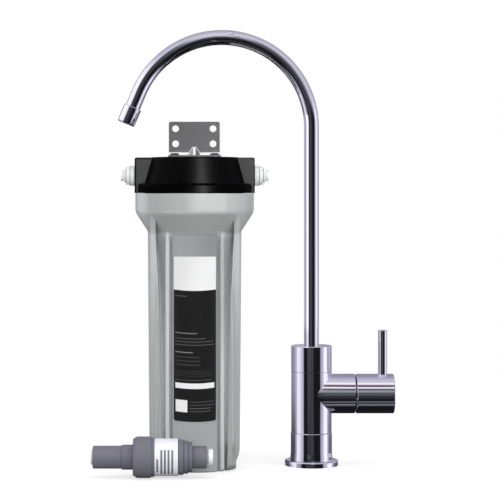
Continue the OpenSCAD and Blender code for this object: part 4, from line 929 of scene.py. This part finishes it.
for width, names in SOFT_EDGES:
    for name in names:
        bevel = NODES[name].modifiers.new("soft_edges", "BEVEL")
        bevel.width = width
        bevel.segments = BEVEL_SEGMENTS
        bevel.limit_method = "ANGLE"
        bevel.angle_limit = math.radians(BEVEL_ANGLE)
        bevel.harden_normals = False
        bevel.use_clamp_overlap = True


# ---------------------------------------------------------------- stage

def plane(name, corners, mat):
    mesh = bpy.data.meshes.new(name)
    mesh.from_pydata(corners, [], [(0, 1, 2, 3)])
    mesh.materials.append(mat)
    obj = bpy.data.objects.new(name, mesh)
    bpy.context.scene.collection.objects.link(obj)
    return obj


def floor():
    """White to the camera with the object's soft shadow, and open to the dark studio for gloss."""
    mat, n = empty_material("floor_white")
    path = n.add("ShaderNodeLightPath").outputs
    where = n.coordinate("Object")
    reach = n.add("ShaderNodeVectorMath", {0: where}, operation="LENGTH").outputs["Value"]
    paint = n.add("ShaderNodeBsdfDiffuse", {"Color": rgba((0.50, 0.50, 0.50))})
    glow = n.add("ShaderNodeEmission", {"Color": rgba((1.0, 1.0, 1.0)), "Strength": 0.60})
    near = n.add("ShaderNodeAddShader", {0: paint.outputs[0], 1: glow.outputs[0]})
    white = n.add("ShaderNodeEmission", {"Color": rgba((1.0, 1.0, 1.0)), "Strength": 1.0})
    seen = n.blend(n.span(reach, 0.35, 0.75), near, white)
    clear = n.add("ShaderNodeBsdfTransparent")
    dull_or_seen = n.blend(path["Is Camera Ray"], paint, seen)
    n.output("ShaderNodeOutputMaterial", n.blend(path["Is Glossy Ray"], dull_or_seen, clear))
    s = FLOOR_HALF
    plane("floor", [(-s, -s, 0), (s, -s, 0), (s, s, 0), (-s, s, 0)], mat)


CARD_SHADES = [
    (0.28, (0.46, 0.44, 0.54)), (0.355, (0.66, 0.64, 0.75)), (0.395, (1.0, 0.98, 1.05)),
    (0.43, (1.0, 0.98, 1.05)), (0.445, (0.68, 0.66, 0.77)), (0.483, (0.42, 0.40, 0.50)),
    (0.548, (0.24, 0.23, 0.31)), (0.62, (0.36, 0.35, 0.43)), (1.0, (0.38, 0.37, 0.45))]


def side_card():
    """A white card between housing and faucet, which only the faucet's gloss sees.

    It keeps the grey of the housing out of the chrome, and is clear from the housing's side.
    """
    mat, n = empty_material("card_white")
    x, y, z = n.split(n.coordinate("Object"))
    shade = n.ramp(n.span(y, FAUCET_Y - 0.1, FAUCET_Y + 0.1, smooth=False), CARD_SHADES)
    low = n.times(n.fall(z, 0.01, 0.085), n.span(y, FAUCET_Y - 0.016, FAUCET_Y))
    tall = n.span(z, 0.120, 0.135, 1.0, 1.5)
    glow = n.add("ShaderNodeEmission", {"Color": shade, "Strength": n.mixf(low, tall, 0.24)})
    behind = n.add("ShaderNodeNewGeometry").outputs["Backfacing"]
    clear = n.add("ShaderNodeBsdfTransparent")
    n.output("ShaderNodeOutputMaterial", n.blend(behind, glow, clear))
    obj = plane("side_card", [(CARD_X, CARD_NEAR, CARD_LOW), (CARD_X, CARD_FAR, CARD_LOW),
                              (CARD_X, CARD_FAR, CARD_HIGH), (CARD_X, CARD_NEAR, CARD_HIGH)], mat)
    obj.visible_camera = False
    obj.visible_diffuse = False
    obj.visible_shadow = False
    obj.visible_transmission = False


# ---------------------------------------------------------------- the studio that gloss sees

WHITE = (1.0, 0.98, 1.05)
PALE = (0.66, 0.64, 0.75)
LILAC = (0.46, 0.44, 0.55)
GREY = (0.24, 0.23, 0.32)
LINE = (0.13, 0.135, 0.15)
DARK = (0.010, 0.010, 0.012)
BLACK = (0.010, 0.010, 0.013)
LAMP = (1.15, 1.13, 1.20)

# level with the object, by azimuth: 0 is towards the camera and 90 to the right
AROUND = [
    (-180, LILAC), (-150, (0.36, 0.35, 0.42)), (-132, GREY), (-112, LILAC), (-96, PALE),
    (-84, WHITE), (-74, WHITE), (-64, PALE), (-53, LILAC), (-48, (0.30, 0.29, 0.36)),
    (-46.5, BLACK), (46, BLACK), (47.5, (0.28, 0.27, 0.34)), (54, LILAC), (66, PALE),
    (74, (1.12, 1.10, 1.16)), (90, (1.12, 1.10, 1.16)), (102, LILAC), (112, PALE),
    (138, (0.36, 0.35, 0.45)), (156, LILAC), (180, LILAC)]

# overhead, and further to the sides, by the angle from the camera's direction
CROWN = [
    (0, (0.22, 0.23, 0.25)), (11, (0.33, 0.34, 0.37)), (19, (0.47, 0.47, 0.52)),
    (27, (0.62, 0.61, 0.68)), (42, (0.79, 0.77, 0.86)), (59, (0.72, 0.70, 0.80)),
    (78, (0.56, 0.54, 0.64)), (100, (0.54, 0.52, 0.61)), (135, (0.42, 0.40, 0.49)),
    (180, (0.36, 0.35, 0.43))]
FLANK = [
    (0, (0.22, 0.23, 0.25)), (6, (0.20, 0.21, 0.23)), (12, (0.12, 0.125, 0.14)),
    (28, (0.12, 0.125, 0.14)), (36, (0.26, 0.26, 0.29)), (44, (0.52, 0.51, 0.58)),
    (58, (0.70, 0.68, 0.77)), (70, (0.66, 0.64, 0.74)), (90, (0.58, 0.56, 0.65)),
    (110, (0.50, 0.48, 0.57)), (180, (0.36, 0.35, 0.43))]

# below the horizon, by height: a dark floor with two light lines
BELOW = [
    (-90, DARK), (-70, DARK), (-69, LINE), (-66, LINE), (-65, DARK), (-51, DARK), (-50, LINE),
    (-47.5, LINE), (-46.5, DARK), (-18, DARK), (-10, (0.05, 0.05, 0.055))]

# the narrow channel that the level hub reads, by the angle round its own axis
CHANNEL = [
    (-180, DARK), (-74, DARK), (-69, (0.12, 0.125, 0.135)), (-60, (0.24, 0.25, 0.265)),
    (-56, DARK), (-52, DARK), (-48, (0.15, 0.155, 0.165)), (-42, (0.12, 0.125, 0.135)),
    (-38, DARK), (-29, (0.014, 0.014, 0.016)), (-20, (0.028, 0.028, 0.032)),
    (-8, (0.045, 0.047, 0.053)), (-1, (0.14, 0.145, 0.155)), (5, (0.055, 0.058, 0.066)),
    (11, (0.20, 0.21, 0.235)), (17, (0.38, 0.40, 0.43)), (22.5, (0.26, 0.275, 0.30)),
    (28, (0.10, 0.105, 0.115)), (33, (0.12, 0.12, 0.13)), (36.5, LAMP), (41, LAMP),
    (45, (0.12, 0.08, 0.09)), (52, (0.10, 0.055, 0.065)), (57, (0.55, 0.50, 0.58)),
    (62, LAMP), (66, (1.10, 1.08, 1.15)), (71, (0.78, 0.76, 0.84)), (79, (0.66, 0.64, 0.73)),
    (93, (0.60, 0.58, 0.68)), (110, (0.43, 0.41, 0.51)), (130, (0.31, 0.30, 0.38)),
    (180, (0.34, 0.33, 0.41))]


def at(degrees):
    """An angle from -180 to 180 degrees as 0 to 1."""
    return 0.5 + degrees / 360.0


def up(degrees):
    """A height from -90 to 90 degrees as 0 to 1."""
    return 0.5 + degrees / 180.0


def wide(degrees):
    """An angle from 0 to 180 degrees as 0 to 1."""
    return degrees / 180.0


def studio():
    """White for the camera, an even fill for diffuse light, and a studio for gloss alone.

    Upright chrome reads the surroundings by azimuth, the arch by the angle from the camera's
    side, and the level hub reads one narrow channel of it.
    """
    world = bpy.data.worlds.new("studio")
    bpy.context.scene.world = world
    world.use_nodes = True
    n = Nodes(world.node_tree)
    x, y, z = n.split(n.coordinate("Generated"))
    ahead = n.times(y, -1.0)
    turn = n.span(n.math("ARCTAN2", x, ahead), -math.pi, math.pi, smooth=False)
    rise = n.span(n.math("ARCSINE", z), -math.pi / 2, math.pi / 2, smooth=False)
    roll = n.span(n.math("ARCTAN2", z, ahead), -math.pi, math.pi, smooth=False)
    side = n.math("ARCTAN2", x, z)
    away = n.absolute(side)
    open_angle = n.math("DIVIDE", n.math("ARCCOSINE", ahead), math.pi)

    def ramp(value, place, stops):
        return n.ramp(value, [(place(degrees), colour) for degrees, colour in stops])

    def side_fall(value, low, high):
        return n.fall(value, math.radians(low), math.radians(high))

    def side_span(value, low, high):
        return n.span(value, math.radians(low), math.radians(high))

    # level: upright chrome reads a dark front with a slit in it, and panels at the sides
    level = n.span(rise, up(-8), up(-4))
    lower = n.fall(rise, up(-8), up(-4))
    around = ramp(turn, at, AROUND)
    slit = n.box(turn, at(-25), at(-6), 0.012)
    slit_glow = n.mix(level, rgba((0.040, 0.042, 0.046)), rgba((0.072, 0.076, 0.084)))
    around = n.mix(slit, around, slit_glow)
    turned = n.absolute(n.math("SUBTRACT", turn, 0.5))
    edges = n.times(n.box(turned, 112 / 360, 146 / 360, 0.03), lower, 0.8)
    around = n.mix(edges, around, rgba((0.05, 0.045, 0.07)))
    near_left = n.times(n.box(turn, at(-68), at(-54), 0.03), lower, 0.55)
    around = n.mix(near_left, around, rgba((0.18, 0.16, 0.22)))

    # above: the arch reads a pale top, a white left side and a dark front
    over = n.mix(side_span(away, 8, 28), ramp(open_angle, wide, CROWN),
                 ramp(open_angle, wide, FLANK))
    left = n.times(side_fall(side, -58, -36), n.span(open_angle, wide(46), wide(56)))
    left_glow = n.mix(n.span(open_angle, wide(126), wide(138)),
                      rgba((1.12, 1.11, 1.14)), rgba((0.16, 0.16, 0.19)))
    over = n.mix(left, over, left_glow)
    gloom = n.times(side_fall(side, -46, -12), n.fall(open_angle, wide(36), wide(44)), 0.85)
    over = n.mix(gloom, over, rgba((0.040, 0.042, 0.048)))
    high = n.times(n.span(rise, up(3), up(8)), side_fall(away, 66, 82))
    look = n.mix(high, around, over)

    # below: everything reads the dark floor
    below = ramp(rise, up, BELOW)
    look = n.mix(side_span(away, 120, 138), look, below)
    deep = n.fall(rise, up(-17), up(-12))
    look = n.mix(n.times(deep, deep, n.fall(rise, up(-62), up(-50))), look, below)

    # the hub's channel lies a little to the right and goes over all the others
    look = n.mix(n.box(x, 0.074, 0.113, 0.004), look, ramp(roll, at, CHANNEL))

    path = n.add("ShaderNodeLightPath").outputs
    gloss = n.add("ShaderNodeBackground", {"Color": look, "Strength": 1.0})
    fill = n.add("ShaderNodeBackground", {"Color": rgba((1.0, 1.0, 1.0)), "Strength": 0.42})
    seen = n.add("ShaderNodeBackground", {"Color": rgba((1.0, 1.0, 1.0)), "Strength": 1.0})
    mirror = n.math("MAXIMUM", path["Is Glossy Ray"], path["Is Transmission Ray"])
    lit = n.blend(mirror, fill, gloss)
    n.output("ShaderNodeOutputWorld", n.blend(path["Is Camera Ray"], lit, seen))


# ---------------------------------------------------------------- lamps and camera

def lamp(name, place, target, size, energy, gloss_on=None):
    """A soft box. It lights everything without a highlight, or only the named node with one."""
    data = bpy.data.lights.new(name, "AREA")
    data.shape = "RECTANGLE"
    data.size, data.size_y = size
    data.energy = energy
    obj = bpy.data.objects.new(name, data)
    obj.location = place
    toward = Vector(target) - Vector(place)
    obj.rotation_euler = toward.to_track_quat("-Z", "Y").to_euler()
    obj.visible_glossy = gloss_on is not None
    obj.visible_diffuse = gloss_on is None
    obj.visible_camera = False
    bpy.context.scene.collection.objects.link(obj)
    if gloss_on:
        group = bpy.data.collections.new(name + "_receivers")
        group.objects.link(NODES[gloss_on])
        obj.light_linking.receiver_collection = group


SOFTBOXES = [  # name, place, size, energy
    ("left_softbox", (-1.5, -1.15, 0.75), (1.0, 1.4), 12.0),
    ("right_softbox", (1.6, -1.15, 0.75), (1.0, 1.4), 14.0),
    ("front_softbox", (0.2, -1.75, 0.55), (0.9, 0.7), 10.0),
    ("top_softbox", (0.1, -0.2, 1.9), (1.4, 1.0), 9.0),
    ("back_softbox", (0.1, 1.7, 1.0), (1.8, 1.0), 9.0),
]

floor()
side_card()
studio()
for name, place, size, energy in SOFTBOXES:
    lamp(name, place, MIDDLE, size, energy)
lamp("head_strip", (0.33, -1.15, 0.40), (0.0, 0.0, 0.28), (0.20, 0.8), 110.0, "filter_head")

camera = bpy.data.objects.new("camera", bpy.data.cameras.new("camera"))
bpy.context.scene.collection.objects.link(camera)
bpy.context.scene.camera = camera
camera.data.sensor_width = SENSOR_MM
camera.data.lens = FOCAL_PX * SENSOR_MM / PHOTO_PX
camera.data.shift_x, camera.data.shift_y = CAMERA_SHIFT
camera.location = CAMERA_AT
camera.rotation_euler = (math.pi / 2, 0.0, 0.0)
camera.data.clip_start = 0.1
camera.data.clip_end = 50.0

bpy.context.scene.view_settings.view_transform = "Standard"
